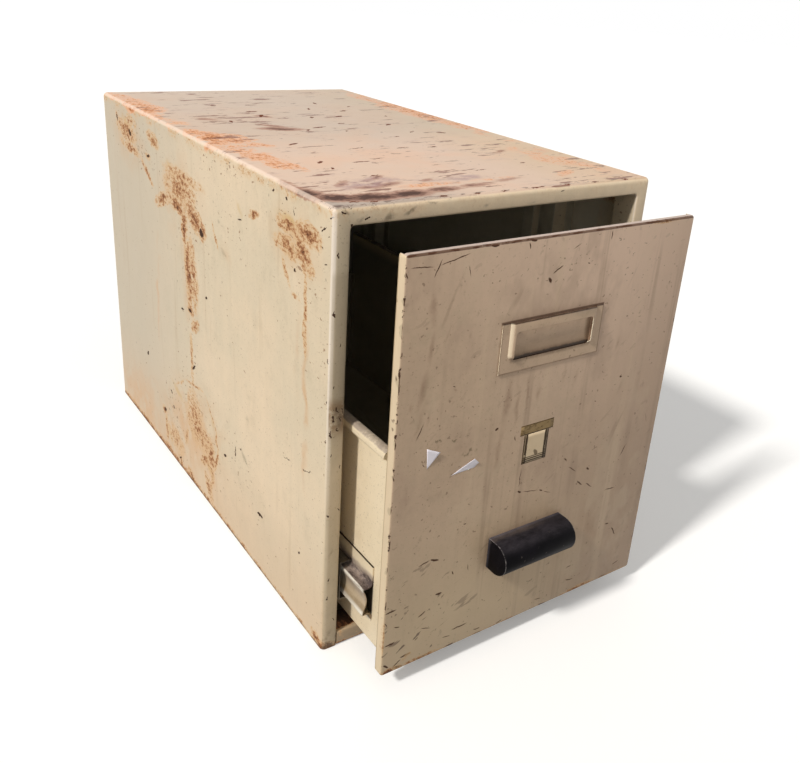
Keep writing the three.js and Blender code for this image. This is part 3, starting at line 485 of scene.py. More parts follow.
def case_enamel():
    """The case's wrap outside, its front frame, and a thin coat over the primer deep inside."""
    paint = Paint("case_enamel")
    front = case_low.y
    enamel(paint, CREAM, DULL)
    shaken = paint.shaken(0.006, 55, 1)
    loose = paint.shaken(0.016, 18, 2, at=shaken)
    ragged = paint.shaken(0.0036, 220, 3)
    on_left = paint.nx.ramp(-0.5, -0.8)
    on_top = paint.nz.ramp(0.5, 0.8)
    on_front = paint.ny.ramp(-0.5, -0.8)
    # The side is greyer towards the back, and browner low down.
    paint.lay(paint.y.ramp(front + 0.22, case_high.y - 0.1) * on_left * 0.85, "BCB09C")
    paint.lay(paint.z.ramp(0.16, 0.0) * on_left * 0.55, "CBB092")
    # The top is pink and chalky where the light has worked on it, yellower on the right, and greyed behind by
    # a painted shadow.
    paint.lay(on_top * 0.85, paint.mix(paint.x.ramp(0.02, 0.17), "D6B9A5", "D2B392"))
    paint.lay(on_top * paint.noise(9, 4, 0.6, seed=8).ramp(0.46, 0.64) * 0.35, "E0B393")
    # A painted shadow over the back half of the top.
    painted_shadow_behind = on_top * paint.y.ramp(front + 0.19, front + 0.34)
    paint.lay(painted_shadow_behind * 0.45, "B3A898")
    stain = paint.strokes(LEFT, LEFT_STAIN, loose).ramp(0.0, 0.8)
    stain = stain * (paint.noise(30, 5, 0.72, seed=31) * 1.5 + 0.15)
    paint.lay(stain * 0.7, "C79E74")
    ochre = paint.strokes(LEFT, LEFT_OCHRE, shaken) * (paint.noise(90, 4, 0.75, seed=32) * 2.2 - 0.2)
    paint.lay(ochre.ramp(0.05, 0.8) * 0.7, "C2A05F")
    sown = paint.noise(230, 3, 0.6, long=(1, 1.8, 1), seed=33) + paint.strokes(LEFT, LEFT_SPECKS) * 0.12
    paint.lay(sown.ramp(0.676, 0.716) * on_left * 0.75, "8A6648")
    streak = paint.noise(95, 3, 0.6, long=(1, 1.4, 26), seed=34).ramp(0.60, 0.72)
    paint.lay(streak * on_left * 0.22, "A98F6C")
    grey_bits = paint.strokes(LEFT, LEFT_SMEARS, shaken).ramp(0.05, 0.5) * 0.55
    paint.lay(grey_bits, "8F8169")
    rust = paint.strokes(LEFT, LEFT_RUST, shaken).most(paint.strokes(RIGHT, RIGHT_RUST, shaken))
    low = paint.z.ramp(0.012, 0.0) * (paint.noise(38, seed=41) * 1.8 - 0.05)
    low = low - paint.y.ramp(front + 0.42, front + 0.10) * on_left * 0.45
    rim = paint.z.ramp(case_high.z - 0.018, case_high.z - 0.003) * (1 - on_top)
    rim = rim * (paint.noise(30, seed=43) * 1.5 - 0.60)
    bare = corroded(paint, rust.most(low).most(rim))
    top_rust = paint.strokes(TOP, TOP_RUST, loose)
    wash = top_rust.ramp(0.0, 0.75) * (paint.noise(45, 5, 0.75, seed=66) * 1.2 + 0.1)
    paint.lay(wash.least(1.0) * 0.7, "DCA483")
    bare_top = corroded(paint, top_rust * 0.85, 4, True)
    # Purple-brown scuffs drawn out across the top.
    smear = paint.noise(52, 4, 0.72, long=(2.6, 1, 1), seed=62)
    scuff = paint.noise(135, 4, 0.62, long=(6.0, 1, 1), turn=(0, 0, 4), seed=61)
    patchy = paint.noise(13, seed=64)
    paint.lay(smear.ramp(0.55, 0.68) * on_top * 0.40, "BDA294")
    drawn = (scuff + smear * 0.45 + patchy * 0.75).ramp(1.235, 1.290)
    paint.lay(drawn * on_top * 0.85, "7A4E3A")
    fleck = (paint.noise(300, 3, long=(2.2, 1, 1), seed=65) + patchy * 0.35).ramp(0.855, 0.895)
    paint.lay(fleck * on_top * 0.7, "845540")
    # A dark line along the foot of the left side: dirt, and a painted shadow along the floor.
    hem = paint.z.ramp(0.0040, 0.0012) * on_left * (paint.noise(45, 4, 0.75, seed=42) * 1.8 - 0.35)
    paint.lay(hem.ramp(0.1, 0.7) * 0.75, "54422F")
    # A dirty crescent behind the front fold, and the greyed strip in front of it.
    strip = on_top * paint.y.ramp(front + 0.034, front + 0.022) * paint.x.ramp(-0.02, -0.12)
    paint.lay(strip * 0.7, "A0968C")
    dirt = paint.strokes(TOP, TOP_DIRT, ragged)
    dirt = dirt * (paint.noise(70, 5, 0.78, long=(2, 1, 1), seed=51) * 2.5 - 0.1)
    dirt = dirt * (paint.noise(270, 4, 0.75, long=(2.6, 1, 1), seed=52) * 1.7 + 0.15)
    paint.lay(dirt.ramp(0.10, 0.62) * 0.8, "A87F6C")
    paint.lay(dirt.ramp(0.62, 1.15) * 0.85, "6E4D3F")
    paint.lay(dirt.ramp(1.25, 1.7) * 0.85, "46302A")
    bruised = paint.strokes(TOP, [(-150, 66, -70, 76, 26, .9), (-70, 62, 50, 62, 20, .7)], loose)
    bruised = bruised * (paint.noise(105, 5, 0.82, long=(1.8, 1, 1), seed=67) * 3.3 - 0.70)
    paint.lay(bruised.ramp(0.05, 0.7) * 0.75, "A68684")
    paint.lay(bruised.ramp(0.62, 0.95) * 0.7, "7A5C55")
    pits = paint.noise(78, 4, 0.72, long=(2.6, 1, 1), turn=(0, 0, -8), seed=63).ramp(0.680, 0.700)
    paint.lay(pits * on_top * paint.y.ramp(front + 0.10, front + 0.36) * 0.9, "5A3424")
    # Small brown specks, thinly over everything.
    dots = specks(paint, 210, 0.018, 71) * paint.noise(12, 3, 0.6, seed=72).ramp(0.42, 0.60)
    paint.lay(dots * 0.7, "6F5843")
    chips = paint.strokes(LEFT, LEFT_CHIPS, ragged).most(paint.strokes(TOP, TOP_CHIPS + FRONT_CHIPS, ragged))
    chips = chips.most(paint.strokes(RIGHT, RIGHT_CHIPS, ragged))
    marks = chipped(paint, chips, 0.32, 0.46, paint.mix(on_top, "3A2416", "67341F"))
    lip = on_top * paint.y.ramp(front + 0.0095, front + 0.0065) * paint.y.ramp(front + 0.002, front + 0.004)
    worn_lip = paint.noise(150, 5, 0.75, long=(2.2, 1, 1), seed=83) + paint.x.ramp(0.15, -0.15) * 0.03
    paint.lay(lip * worn_lip.ramp(0.52, 0.60) * 0.8, "60483B")
    # The folds: pale along the top and the front, as rubbed paint and a painted highlight, knocked dark in
    # places along the front.
    folds = paint.folds()
    paint.lay((paint.nx * paint.nz).size().ramp(0.2, 0.42) * 0.5, "EAD6C6")
    rubbed_and_highlight = (paint.nx * paint.ny).ramp(0.2, 0.42) * paint.z.ramp(0.12, 0.34)
    paint.lay(rubbed_and_highlight * 0.6, "F0E6DC")
    worst = paint.z.ramp(case_high.z - 0.02, case_high.z - 0.004) * paint.x.ramp(0.10, -0.12)
    knocks = folds * (paint.noise(150, 5, 0.8, seed=81) * 1.6 + worst * 0.16)
    along_top = (paint.nx * paint.nz).size().ramp(0.1, 0.3) * paint.y.ramp(front + 0.03, front + 0.12)
    knocks = knocks - along_top * 0.10
    edge = chipped(paint, knocks, 1.08, 1.16, "432C1D")
    # The front frame is lighter along its top and right, as painted light, and darker on its left leg and
    # upper left corner.
    painted_light_upper_right = (paint.x * 0.5 + paint.z).ramp(0.33, 0.42) * on_front
    paint.lay(painted_light_upper_right * 0.8, paint.tinted("F2DCBD", paint.noise(90, seed=84) * 0.3 + 0.85))
    leg = paint.x.ramp(-0.165, -0.176) * on_front
    leg_darkening = leg * (paint.noise(22, long=(1, 1, 3), seed=85) * 0.9 + 0.05)
    leg_darkening = leg_darkening * (paint.z.ramp(0.410, 0.402) * 0.75 + 0.25)
    paint.lay(leg_darkening, "A3937A")
    corner = paint.z.ramp(case_high.z - 0.03, case_high.z - 0.010) * paint.x.ramp(-0.11, -0.17)
    patch = paint.z.ramp(0.240, 0.262) * paint.z.ramp(0.292, 0.276) * leg
    frame_bits = paint.noise(170, 5, 0.8, seed=87) + corner * 0.07 + patch * 0.11
    paint.lay(patch * paint.noise(60, 4, 0.75, seed=88).ramp(0.36, 0.58) * 0.8, "86684A")
    paint.lay(frame_bits.ramp(0.66, 0.71) * on_front * 0.85, "48301F")
    smudged = paint.strokes(CASE_FRONT, FRAME_SMEARS, shaken)
    smudged = smudged * (paint.noise(160, 4, 0.75, seed=90) * 2.4 - 0.3)
    paint.lay(smudged.ramp(0.1, 0.8) * on_front * 0.7, "7C6A56")
    nicked = paint.strokes(CASE_FRONT, FRAME_CHIPS, ragged) * on_front
    paint.lay(nicked.ramp(0.12, 0.30), "3A2416")
    foot = paint.z.ramp(0.03, 0.004) * on_front * paint.noise(80, seed=89).ramp(0.42, 0.6)
    paint.lay(foot * 0.85, "5E4636")
    # A thin grey-olive coat inside, darkened on the left by painted shade.
    hidden = inward(paint, CASE_MIDDLE) * (1 - on_front)
    inside = paint.mix(paint.noise(14, 4, 0.6, seed=91), "EEE8D8", "CFC8B6")
    inside = paint.mix(paint.x.ramp(0.10, -0.06), inside, "929097")
    paint.lay(hidden * paint.y.ramp(front + 0.040, front + 0.075), inside)
    worn = bare.most(bare_top).most(marks).most(edge)
    paint.bump(paint.noise(420, 4, 0.6, seed=95) * 0.2 + paint.noise(7, 2, 0.5, seed=96) * 1.2, 0.0006)
    gloss = paint.noise(40, 4, 0.6, seed=97) * 0.18 + 0.38
    return paint.done(gloss + worn * 0.4 + dirt * 0.2, mirror=0.28)


def inside_enamel(name, middle, seed, outer, grime, within="B9B19B"):
    """Parts seen partly from inside: enamel on their outer faces and a thin dirty coat on the others."""
    paint = Paint(name)
    enamel(paint, outer, DULL, seed=seed)
    paint.lay(paint.noise(16, 5, seed=seed + 1).ramp(0.45, 0.7) * grime, "8A7A60")
    paint.lay(specks(paint, 170, 0.03, seed + 2) * 0.6, "6B543F")
    inner = paint.mix(paint.noise(18, 4, 0.65, seed=seed + 3), within, "8F8875")
    paint.lay(inward(paint, middle), inner)
    paint.bump(paint.noise(300, 4, 0.6, seed=seed + 4), 0.0001)
    return paint.done(paint.noise(50, 3, 0.6, seed=seed + 5) * 0.2 + 0.42)


def back_enamel():
    """The back panel: dusty enamel, rusting in along its edges, and a thin grey coat inside, darker on the
    left as painted shade.
    """
    paint = Paint("back_enamel")
    drift = paint.noise(12, 4, 0.65, seed=106) * 0.5 + 0.75
    enamel(paint, DULL, "C4B79E", seed=7)
    paint.lay(paint.noise(9, 5, seed=101).ramp(0.5, 0.72) * 0.5, "A08D70")
    near_edge = paint.x.size().ramp(0.172, 0.19).most(paint.z.ramp(0.03, 0.0))
    near_edge = near_edge.most(paint.z.ramp(0.435, 0.463))
    near_edge = near_edge * paint.noise(6, 4, 0.65, seed=107).ramp(0.38, 0.62)
    bare = corroded(paint, near_edge * paint.noise(16, seed=103) * 1.7, 6)
    # The inside coat is darker on the left: painted shade.
    inner = paint.mix(paint.x.ramp(-0.06, 0.10), "868A92", "C6CCCC")
    paint.lay(inward(paint, CASE_MIDDLE), paint.tinted(inner, drift))
    paint.bump(bare * -0.5 + paint.noise(300, 4, 0.6, seed=104) * 0.2, 0.0004)
    return paint.done(paint.noise(40, 3, 0.6, seed=105) * 0.2 + 0.42 + bare * 0.3)


def sill_rust():
    """The sill under the drawer: paint peeled off along its inner edge down to brown rust."""
    paint = Paint("sill_rust")
    enamel(paint, "B7A184", "A28B70", seed=13)
    ragged = paint.noise(34, 5, 0.72, seed=111) * 0.020 - 0.010
    back = (paint.y + ragged).ramp(sill_low.y + 0.004, sill_low.y + 0.008)
    top = paint.nz.ramp(0.4, 0.7)
    field = (back * top).most(paint.noise(40, seed=113).ramp(0.55, 0.75) * 0.7)
    field = field.most(paint.z.ramp(0.005, 0.0) * 0.8)
    bare = corroded(paint, field * 1.3, 9)
    paint.lay(paint.y.ramp(sill_low.y + 0.010, sill_low.y + 0.022) * top * 0.8, "2B1C16")
    paint.bump(bare * -0.6 + paint.noise(300, 4, 0.6, seed=115) * (bare + 0.1), 0.0005)
    return paint.done(bare * 0.35 + 0.45)


# Drawer's face, measured like the frame. The card frame's window has its left and right ends
# and its foot and head in that order.
WINDOW = [v * MM for v in (-50.5, 44.5, 331.3, 359.7)]
FACE_SCRATCHES = [
    (-12, 407.5, 0, 414.5, .9, 1), (-16, 404, -13, 400, 2.4, .6), (-135, 438, -142, 421, .8, .8),
    (-168, 433, -140, 431, .6, .7), (-140, 431, -104, 439, .7, .8), (-107, 430, -105, 416, .5, .6),
    (-150, 272, -140, 292, 1.2, .45), (-20, 212, -21, 186, .5, .8), (-21, 184, -17, 182, 1.6, .7),
    (-17, 182, 8, 176, .5, .7), (8, 177, 12, 174, 1.1, .7), (12, 174, 26, 168, .4, .6),
    (44, 194, 58, 183, .8, .6), (60, 172, 70, 163, 1, .7), (74, 165, 86, 156, .7, .7),
    (72, 184, 76, 181, 1.5, .6), (36, 206, 42, 200, 1.4, .4), (120, 182, 130, 200, 1, .5),
    (104, 146, 124, 145, .7, .6), (128, 91, 137, 77, .9, .9), (118, 99, 122, 98, 1.6, .6),
    (-136, 137, -122, 140, 1.1, .7), (-122, 140, -112, 136, 1.5, .8), (-112, 96, -105, 95, 1.4, .8),
    (-95, 117, -92, 112, 1, .7), (-170, 96, -156, 97, 1.2, .9), (-132, 76, -122, 81, 1, .7),
    (-158, 76, -152, 74, .9, .7), (-168, 57, -156, 58, 1.3, .9), (-128, 62, -114, 56, .7, .6),
    (-150, 35, -136, 36, 1.4, .8), (-158, 27, -148, 33, 1, .8), (-90, 42, -66, 43, 1.2, .7),
    (-60, 30, -50, 28, 1, .6), (-30, 24, -20, 27, .9, .6), (66, 42, 80, 39, .8, .6),
    (64, 58, 74, 61, .8, .5), (22, 34, 34, 32, .9, .5), (-170, 86, -166, 80, .8, .6),
    (20, 433, 8, 428, .6, .5), (56, 441, 56, 431, 1.2, .5), (30, 413, 33, 412, 1, .5),
    (-57, 263, -59, 262, 1.8, .8), (-113, 320, -110, 318, .8, .6), (68, 263, 70, 262, .7, .5),
    (100, 283, 103, 282, 1.6, .5), (-86, 168, -83, 167, 1, .6), (-34, 250, -33, 243, .9, .5),
    (-100, 38, -88, 35, .8, .6), (-128, 24, -110, 26, 1, .7), (140, 34, 152, 38, .8, .6),
    (-140, 250, -137, 244, .8, .4), (150, 232, 156, 214, .6, .35), (-76, 120, -74, 108, .6, .5),
]
FACE_CHIPS = [
    (-170, 443, -160, 443, 1.2, 1), (-150, 443, -141, 443, .9, .9), (-128, 443, -118, 442.5, 1.1, 1),
    (-106, 443, -98, 443, 1, 1), (-86, 442.5, -78, 441.5, 1.4, 1.1), (-66, 443, -52, 443, 1, 1),
    (-44, 442.5, -36, 441.5, 1.5, 1.1), (-20, 443, -8, 443, .9, .9), (4, 443, 20, 443, .9, .9),
    (34, 443, 44, 443, 1.3, .8), (62, 443, 84, 443, 1.2, .8), (96, 443, 128, 443, 1.2, .8),
    (-44, 440, -42, 434, .9, .8), (-170, 430, -168, 424, .81, .81), (-170, 408, -169, 402, .93, .9),
    (-170, 388, -170, 372, .99, .9), (-169, 362, -169, 357, .74, .72), (-170, 345, -170, 322, 1.05, .99),
    (-169, 300, -169, 296, .81, .81), (-170, 280, -170, 270, .93, .9), (-170, 246, -169, 240, .87, .81),
    (-170, 214, -170, 204, .93, .9), (-169, 178, -169, 170, .81, .81), (-170, 150, -170, 140, .93, .9),
    (-169, 112, -169, 100, .87, .81), (-170, 66, -169, 60, .87, .81), (-168, 34, -162, 29, 1.5, 1),
    (-156, 26, -146, 24, 1.8, 1), (-130, 24, -118, 24, 1.6, 1), (-96, 23, -84, 24, 1.5, .9),
    (-60, 23, -46, 23, 1.5, .9), (-20, 23, -8, 23, 1.4, .9), (30, 23, 42, 23, 1.4, .9),
    (74, 24, 90, 24, 2, 1), (120, 23, 134, 24, 1.6, .9), (168, 60, 169, 72, .81, .72),
    (169, 150, 169, 162, .81, .72), (169, 236, 169, 246, .81, .72), (169, 330, 169, 338, .74, .72),
]
FACE_GRIME_AND_SHADOW = [
    (-142, 412, -138, 376, 5, 1), (-138, 380, -141, 340, 4.5, 1), (-141, 344, -148, 300, 5, .9),
    (-138, 318, -151, 272, 5, .6), (-136, 300, -138, 286, 3, .7), (-156, 312, -155, 306, 3, .7),
    (-46, 318, -50, 262, 6, 1), (-50, 270, -56, 205, 5, .7), (-36, 316, -37, 250, 3.5, .8),
    (-24, 316, -25, 270, 3, .7), (-10, 300, -10, 280, 4, .6), (19, 318, 18, 290, 4, .6),
    (38, 304, 35, 288, 5, .5), (91, 336, 84, 310, 4, .6), (104, 280, 101, 262, 4, .6),
    (-111, 318, -108, 315, 2.2, .8), (-100, 368, -100, 362, 2.4, .6), (48, 318, 48, 230, 3, .4),
    (90, 400, 90, 250, 5, .26), (105, 330, 104, 210, 5, .22), (-64, 240, -64, 150, 5, .26),
    # The stroke from (78, 128) to (98, 92), beside the pull, is a painted shadow of the pull, not grime.
    (78, 128, 98, 92, 20, .55), (-55, 142, -60, 92, 7, .5), (60, 84, 20, 74, 14, .3),
    (-160, 130, -120, 30, 40, .35), (-60, 230, 60, 190, 40, .22), (-172, 150, -172, 20, 8, .4),
    (-125, 262, -78, 250, 16, .28), (-80, 80, 40, 70, 25, .22),
]
FACE_RUST = [
    (-172, 22, -150, 24, 6, 1.15), (-150, 24, -90, 22, 4, .95), (-90, 22, 40, 21, 3, .85),
    (60, 22, 112, 25, 4, 1), (112, 22, 172, 22, 3, .85),
    (110, 442, 150, 442, 2, .6), (171, 300, 171, 200, 3, .6), (171, 130, 171, 60, 3, .7),
    (-171, 90, -171, 40, 3, .6), (-146, 31, -138, 36, 3, .7), (171, 420, 171, 380, 2.5, .5),
]
GLUE = [(-150, 267, -100, 268, 3.0, .7), (-125, 262, -135, 262, 5, .6), (-96, 247, -80, 247, 5, .9),
        (-72, 243, -64, 238, 3, .7), (-80, 229, -120, 230, 2, .5), (-108, 266, -104, 264, 3, .9)]


def outline(paint, low, high):
    """Distance in metres outside a rectangle on the drawer's face, from x and z."""
    half = (high - low) / 2
    return (paint.x.off(low.x, high.x) - half.x).most(paint.z.off(low.z, high.z) - half.z)


def face_enamel():
    """The drawer's face: browned enamel with runs, grime, scuffs and scratches, chipped along its edges."""
    paint = Paint("face_enamel")
    enamel(paint, "C5AB91", "BAA188", runs=0.12, mottle=0.24, seed=2, grime=0.34)
    flat = paint.ny.ramp(-0.4, -0.85)
    shaken = paint.shaken(0.0016, 130, 4)
    loose = paint.shaken(0.006, 40, 5)
    # Pinker, and lighter as painted light, to the upper right; olive in the middle, browner low down and
    # left.
    pink_and_painted_light = (paint.x * 0.9 + paint.z).ramp(0.20, 0.52)
    paint.lay(pink_and_painted_light * 0.75, "E6C8B1")
    paint.lay((paint.x - paint.z * 0.5).ramp(-0.16, 0.08) * 0.62, "A0846B")
    haze = paint.noise(13, long=(1, 1, 1.6), seed=126)
    paint.lay(haze.ramp(0.52, 0.68) * flat * 0.40, "A48A76")
    paint.lay(haze.ramp(0.46, 0.34) * flat * 0.30, "CDB89C")
    paint.lay(paint.z.ramp(0.22, 0.04) * paint.x.ramp(0.14, -0.04) * 0.65, "CFB996")
    runs = paint.noise(55, 3, 0.65, long=(1, 1, 40), seed=121)
    wet = paint.noise(6, 3, 0.6, seed=122).ramp(0.4, 0.6)
    paint.lay(runs.ramp(0.54, 0.70) * wet * flat * 0.5, "937A65")
    paint.lay(runs.ramp(0.44, 0.32) * flat * 0.30, "D2BA9C")
    grime = paint.strokes(FRONT, FACE_GRIME_AND_SHADOW, loose)
    grime = grime.ramp(0.0, 0.9) * (paint.noise(80, 5, 0.8, long=(1, 1, 2), seed=123) * 1.5 - 0.25)
    # A dark line hugging the card frame, strongest along its top, is painted shadow of the gap there, under a
    # halo of dirt; the darkening round the pull is dirt and painted shade.
    plate = outline(paint, plate_low, plate_high)
    above = paint.z.ramp(plate_high.z - 0.004, plate_high.z + 0.002)
    ring = plate.ramp(0.0022, 0.0002) * (above * 0.6 + 0.35) + plate.ramp(0.012, 0.0) * above * 0.25
    ring = ring + plate.ramp(0.020, 0.0) * 0.05
    pull_dirt_and_shade = outline(paint, pull_low, pull_high).ramp(0.006, 0.0) * 0.35
    ring = (ring + pull_dirt_and_shade) * (paint.noise(70, seed=124) * 0.9 + 0.5)
    grime = (grime + ring).least(1.0) * flat
    # This grime tone also lays the painted shadows beside the pull and along the card frame.
    paint.lay(grime * 0.8, "80614E")
    paint.lay(ring.ramp(0.50, 0.95) * flat * 0.6, "4E3A2C")
    glue = paint.strokes(FRONT, GLUE, loose).ramp(0.05, 0.6)
    paint.lay(glue * paint.noise(240, 3, seed=125).ramp(0.52, 0.62) * 0.8, "6F6044")
    # Scuffs: short dark strokes that rise to the right, thickest low down on the left.
    low = (paint.z + paint.x * 0.55).ramp(0.13, -0.05)
    scuff = paint.noise(85, 3, 0.6, long=(4.5, 1, 1), turn=(0, -22, 0), seed=131)
    paint.lay(scuff.ramp(0.65, 0.69) * low * flat * 0.85, "6D5643")
    nicks = paint.noise(150, 2, 0.5, long=(2.4, 1, 1), turn=(0, -35, 0), seed=133).ramp(0.68, 0.72)
    paint.lay(nicks * (low * 0.8 + 0.16) * flat, "6A5544")
    faint = paint.noise(42, 3, 0.6, long=(1, 1, 9), turn=(0, 24, 0), seed=135).ramp(0.63, 0.69)
    paint.lay(faint * flat * 0.25, "7D654E")
    paint.lay(specks(paint, 240, 0.040, 137) * flat * 0.6, "745D48")
    paint.lay(paint.noise(60, 5, 0.75, long=(1, 1, 1.8), seed=138).ramp(0.60, 0.68) * flat * 0.30, "87705D")
    scratches = paint.strokes(FRONT, FACE_SCRATCHES + FACE_CHIPS, shaken)
    marks = chipped(paint, scratches, 0.08, 0.36, "4A3020")
    # Dirt in the card frame's window, thickest along its foot and its right end.
    left, right, low_edge, high_edge = WINDOW
    in_window = paint.x.ramp(left - 0.001, left) * paint.x.ramp(right + 0.001, right)
    in_window = in_window * paint.z.ramp(low_edge - 0.001, low_edge)
    in_window = in_window * paint.z.ramp(high_edge + 0.001, high_edge)
    wavy = paint.noise(90, seed=127) * 0.004 - 0.002
    foot = (paint.z + wavy).ramp(low_edge + 0.0075, low_edge + 0.001)
    tail = (paint.x + wavy).ramp(right - 0.008, right - 0.002)
    head = (paint.z + wavy).ramp(high_edge - 0.003, high_edge - 0.0005)
    settled = foot.most(tail * 0.8).most(head * 0.75) * in_window
    paint.lay(in_window * 0.22, "E2C8A8")
    rising = (paint.z + wavy * 2).ramp(low_edge + 0.020, low_edge + 0.004) * in_window
    paint.lay(rising * 0.45, "7A6148")
    paint.lay(settled * 0.85, "5A412B")
    paint.lay((paint.z + wavy).ramp(low_edge + 0.0040, low_edge + 0.0018) * in_window * 0.95, "2C1D11")
    # Chips along the four edges.
    edge = paint.x.size().ramp(face_high.x - 0.004, face_high.x - 0.0015)
    edge = edge.most(paint.z.ramp(face_high.z - 0.004, face_high.z - 0.0012))
    edge = edge.most(paint.z.ramp(face_low.z + 0.004, face_low.z + 0.0012))
    turned = paint.y.ramp(face_low.y + 0.0045, face_low.y + 0.0005)
    knocks = edge * turned * (paint.noise(90, 5, 0.78, seed=141) * 1.5)
    nicked = chipped(paint, knocks, 0.80, 0.90, "432C1E")
    bare = corroded(paint, paint.strokes(FRONT, FACE_RUST, shaken), 12)
    # A greyed strip along the top, with a dark line where the enamel has gone from its front edge.
    above = paint.nz.ramp(0.5, 0.8)
    paint.lay(above * 0.65, "B3A59F")
    brow = paint.z.ramp(face_high.z - 0.0032, face_high.z - 0.0020) * paint.ny.ramp(-0.3, -0.7)
    brow = brow * (paint.noise(60, 4, 0.75, seed=142) * 1.7 - 0.1)
    paint.lay(brow.ramp(0.20, 0.62) * 0.85, "5A3A28")
    # The pan's sides: a cleaner, yellower cream, and a painted shade in the groove behind the front edge.
    side = paint.nx.size().ramp(0.5, 0.85)
    paint.lay(side * (1 - nicked) * 0.7, paint.tinted(
        "DCC9A9", paint.noise(60, long=(1, 1, 2), seed=143) * 0.2 + 0.9))
    paint.lay(specks(paint, 70, 0.05, 145) * side * 0.75, "6B543F")
    seam = paint.y.ramp(face_low.y + 0.0080, face_low.y + 0.0100) * paint.nx.size().ramp(0.5, 0.85)
    paint.lay(seam * 0.75, "9A825C")
    paint.lay(paint.ny.ramp(0.3, 0.8) * 0.8, "A39A86")
    worn = bare.most(marks).most(nicked)
    paint.bump(paint.noise(420, 4, 0.6, seed=147) * 0.16 + paint.noise(9, 2, 0.5, seed=148) * 0.9, 0.0005)
    gloss = paint.noise(45, 4, 0.6, seed=149) * 0.16 + 0.36
    return paint.done(gloss + worn * 0.4 + grime * 0.25, mirror=0.3)


def plate_enamel():
    """The pressed card frame, in the face's enamel, with dirt in its corners, a painted shadow under its top,
    and painted highlights on the faces that look left.
    """
    paint = Paint("plate_enamel")
    enamel(paint, "C6AC92", "BCA187", runs=0.10, seed=2)
    paint.lay(paint.noise(40, seed=151).ramp(0.45, 0.7) * 0.3, "A78D72")
    rim = outline(paint, plate_low, plate_high).ramp(-0.0014, -0.0002)
    rim = rim * (paint.noise(90, seed=152) * 1.2 + 0.2)
    paint.lay(rim.least(1.0) * 0.8, "5E402A")
    # Faces that look left are painted lighter: a painted highlight.
    paint.lay(paint.nx.ramp(-0.35, -0.8) * 0.9, "F2E2C6")
    paint.lay(specks(paint, 200, 0.03, 153) * 0.5, "6E573F")
    # A dark line along the top: painted shadow in the open slot there.
    top = paint.z.ramp(plate_high.z - 0.0017, plate_high.z - 0.0006)
    paint.lay((top * (paint.noise(80, 4, 0.6, seed=155) * 0.9 + 0.4)).least(1.0), "3A2212")
    paint.lay(paint.y.ramp(face_low.y - 0.0010, face_low.y - 0.0002) * 0.45, "6E573F")
    # Below the window's foot the dirt thins out downwards, and the sheet's cut edges are bare and dark, with
    # a painted highlight on those that face left.
    left, right, low, high = WINDOW
    across, up = paint.x.off(left, right), paint.z.off(low, high)
    half = (right - left) / 2
    foot = paint.z.ramp(low - 0.0045, low - 0.0004) * across.ramp(half + 0.003, half)
    foot = foot * paint.z.ramp(low + 0.004, low + 0.002)
    paint.lay(foot * (paint.noise(90, seed=156) * 1.2 - 0.05), "5A4432")
    inside = across.ramp(half + 0.0006, half + 0.0002)
    inside = inside * up.ramp((high - low) / 2 + 0.0006, (high - low) / 2 + 0.0002)
    cut = inside * paint.ny.size().ramp(0.75, 0.45)
    bright = cut * paint.nx.ramp(-0.5, -0.8)
    paint.lay(cut, "301C0E")
    paint.lay(bright, "E9DDC6")
    paint.bump(paint.noise(400, 4, 0.6, seed=157), 0.00008)
    return paint.done(paint.noise(60, 3, 0.6, seed=158) * 0.2 + 0.36, mirror=0.3)


def drawer_enamel(name="drawer_enamel", base="E9D8BA", dull="E3D1B0"):
    """The drawer behind its face: clean yellow-cream outside, grey dirt on the roll, dark inside."""
    paint = Paint(name)
    enamel(paint, base, dull, runs=0.05, mottle=0.08, seed=4, grime=0.10)
    paint.lay(paint.noise(26, 5, seed=161).ramp(0.52, 0.72) * 0.20, "B8A27C")
    top = paint.z.ramp(side_high.z - 0.008, side_high.z - 0.001) * paint.nz.ramp(-0.2, 0.7)
    dust = top * (paint.noise(75, 5, 0.75, seed=163) * 1.7 - 0.15)
    paint.lay(dust.ramp(0.1, 0.8) * 0.85, "8F7F74")
    paint.lay(specks(paint, 190, 0.016, 165) * 0.55, "8A744F")
    paint.lay(paint.z.ramp(0.05, 0.024) * paint.noise(30, seed=167).ramp(0.5, 0.7) * 0.5, "9A8464")
    # Behind the rail the side is near black: grease, and painted shade in the hollow.
    hollow = (paint.nx * paint.x).ramp(0.04, 0.10) * paint.y.ramp(rail_low.y - 0.0010, rail_low.y + 0.0012)
    hollow = hollow * paint.z.ramp(0.056, 0.060) * paint.z.ramp(0.096, 0.092)
    paint.lay(hollow * 0.95, "1B140F")
    inner = paint.mix(paint.noise(18, 4, 0.65, seed=168), "B8B09C", "958C79")
    middle = (0.0, (side_low.y + side_high.y) / 2, 0.30)
    paint.lay(inward(paint, middle) * paint.z.ramp(side_high.z - 0.001, side_high.z - 0.02), inner)
    paint.bump(paint.noise(380, 4, 0.6, seed=169) * 0.15 + paint.noise(10, 2, 0.6, seed=170) * 0.8, 0.0004)
    return paint.done(paint.noise(45, 4, 0.6, seed=171) * 0.18 + 0.38 + dust * 0.3)


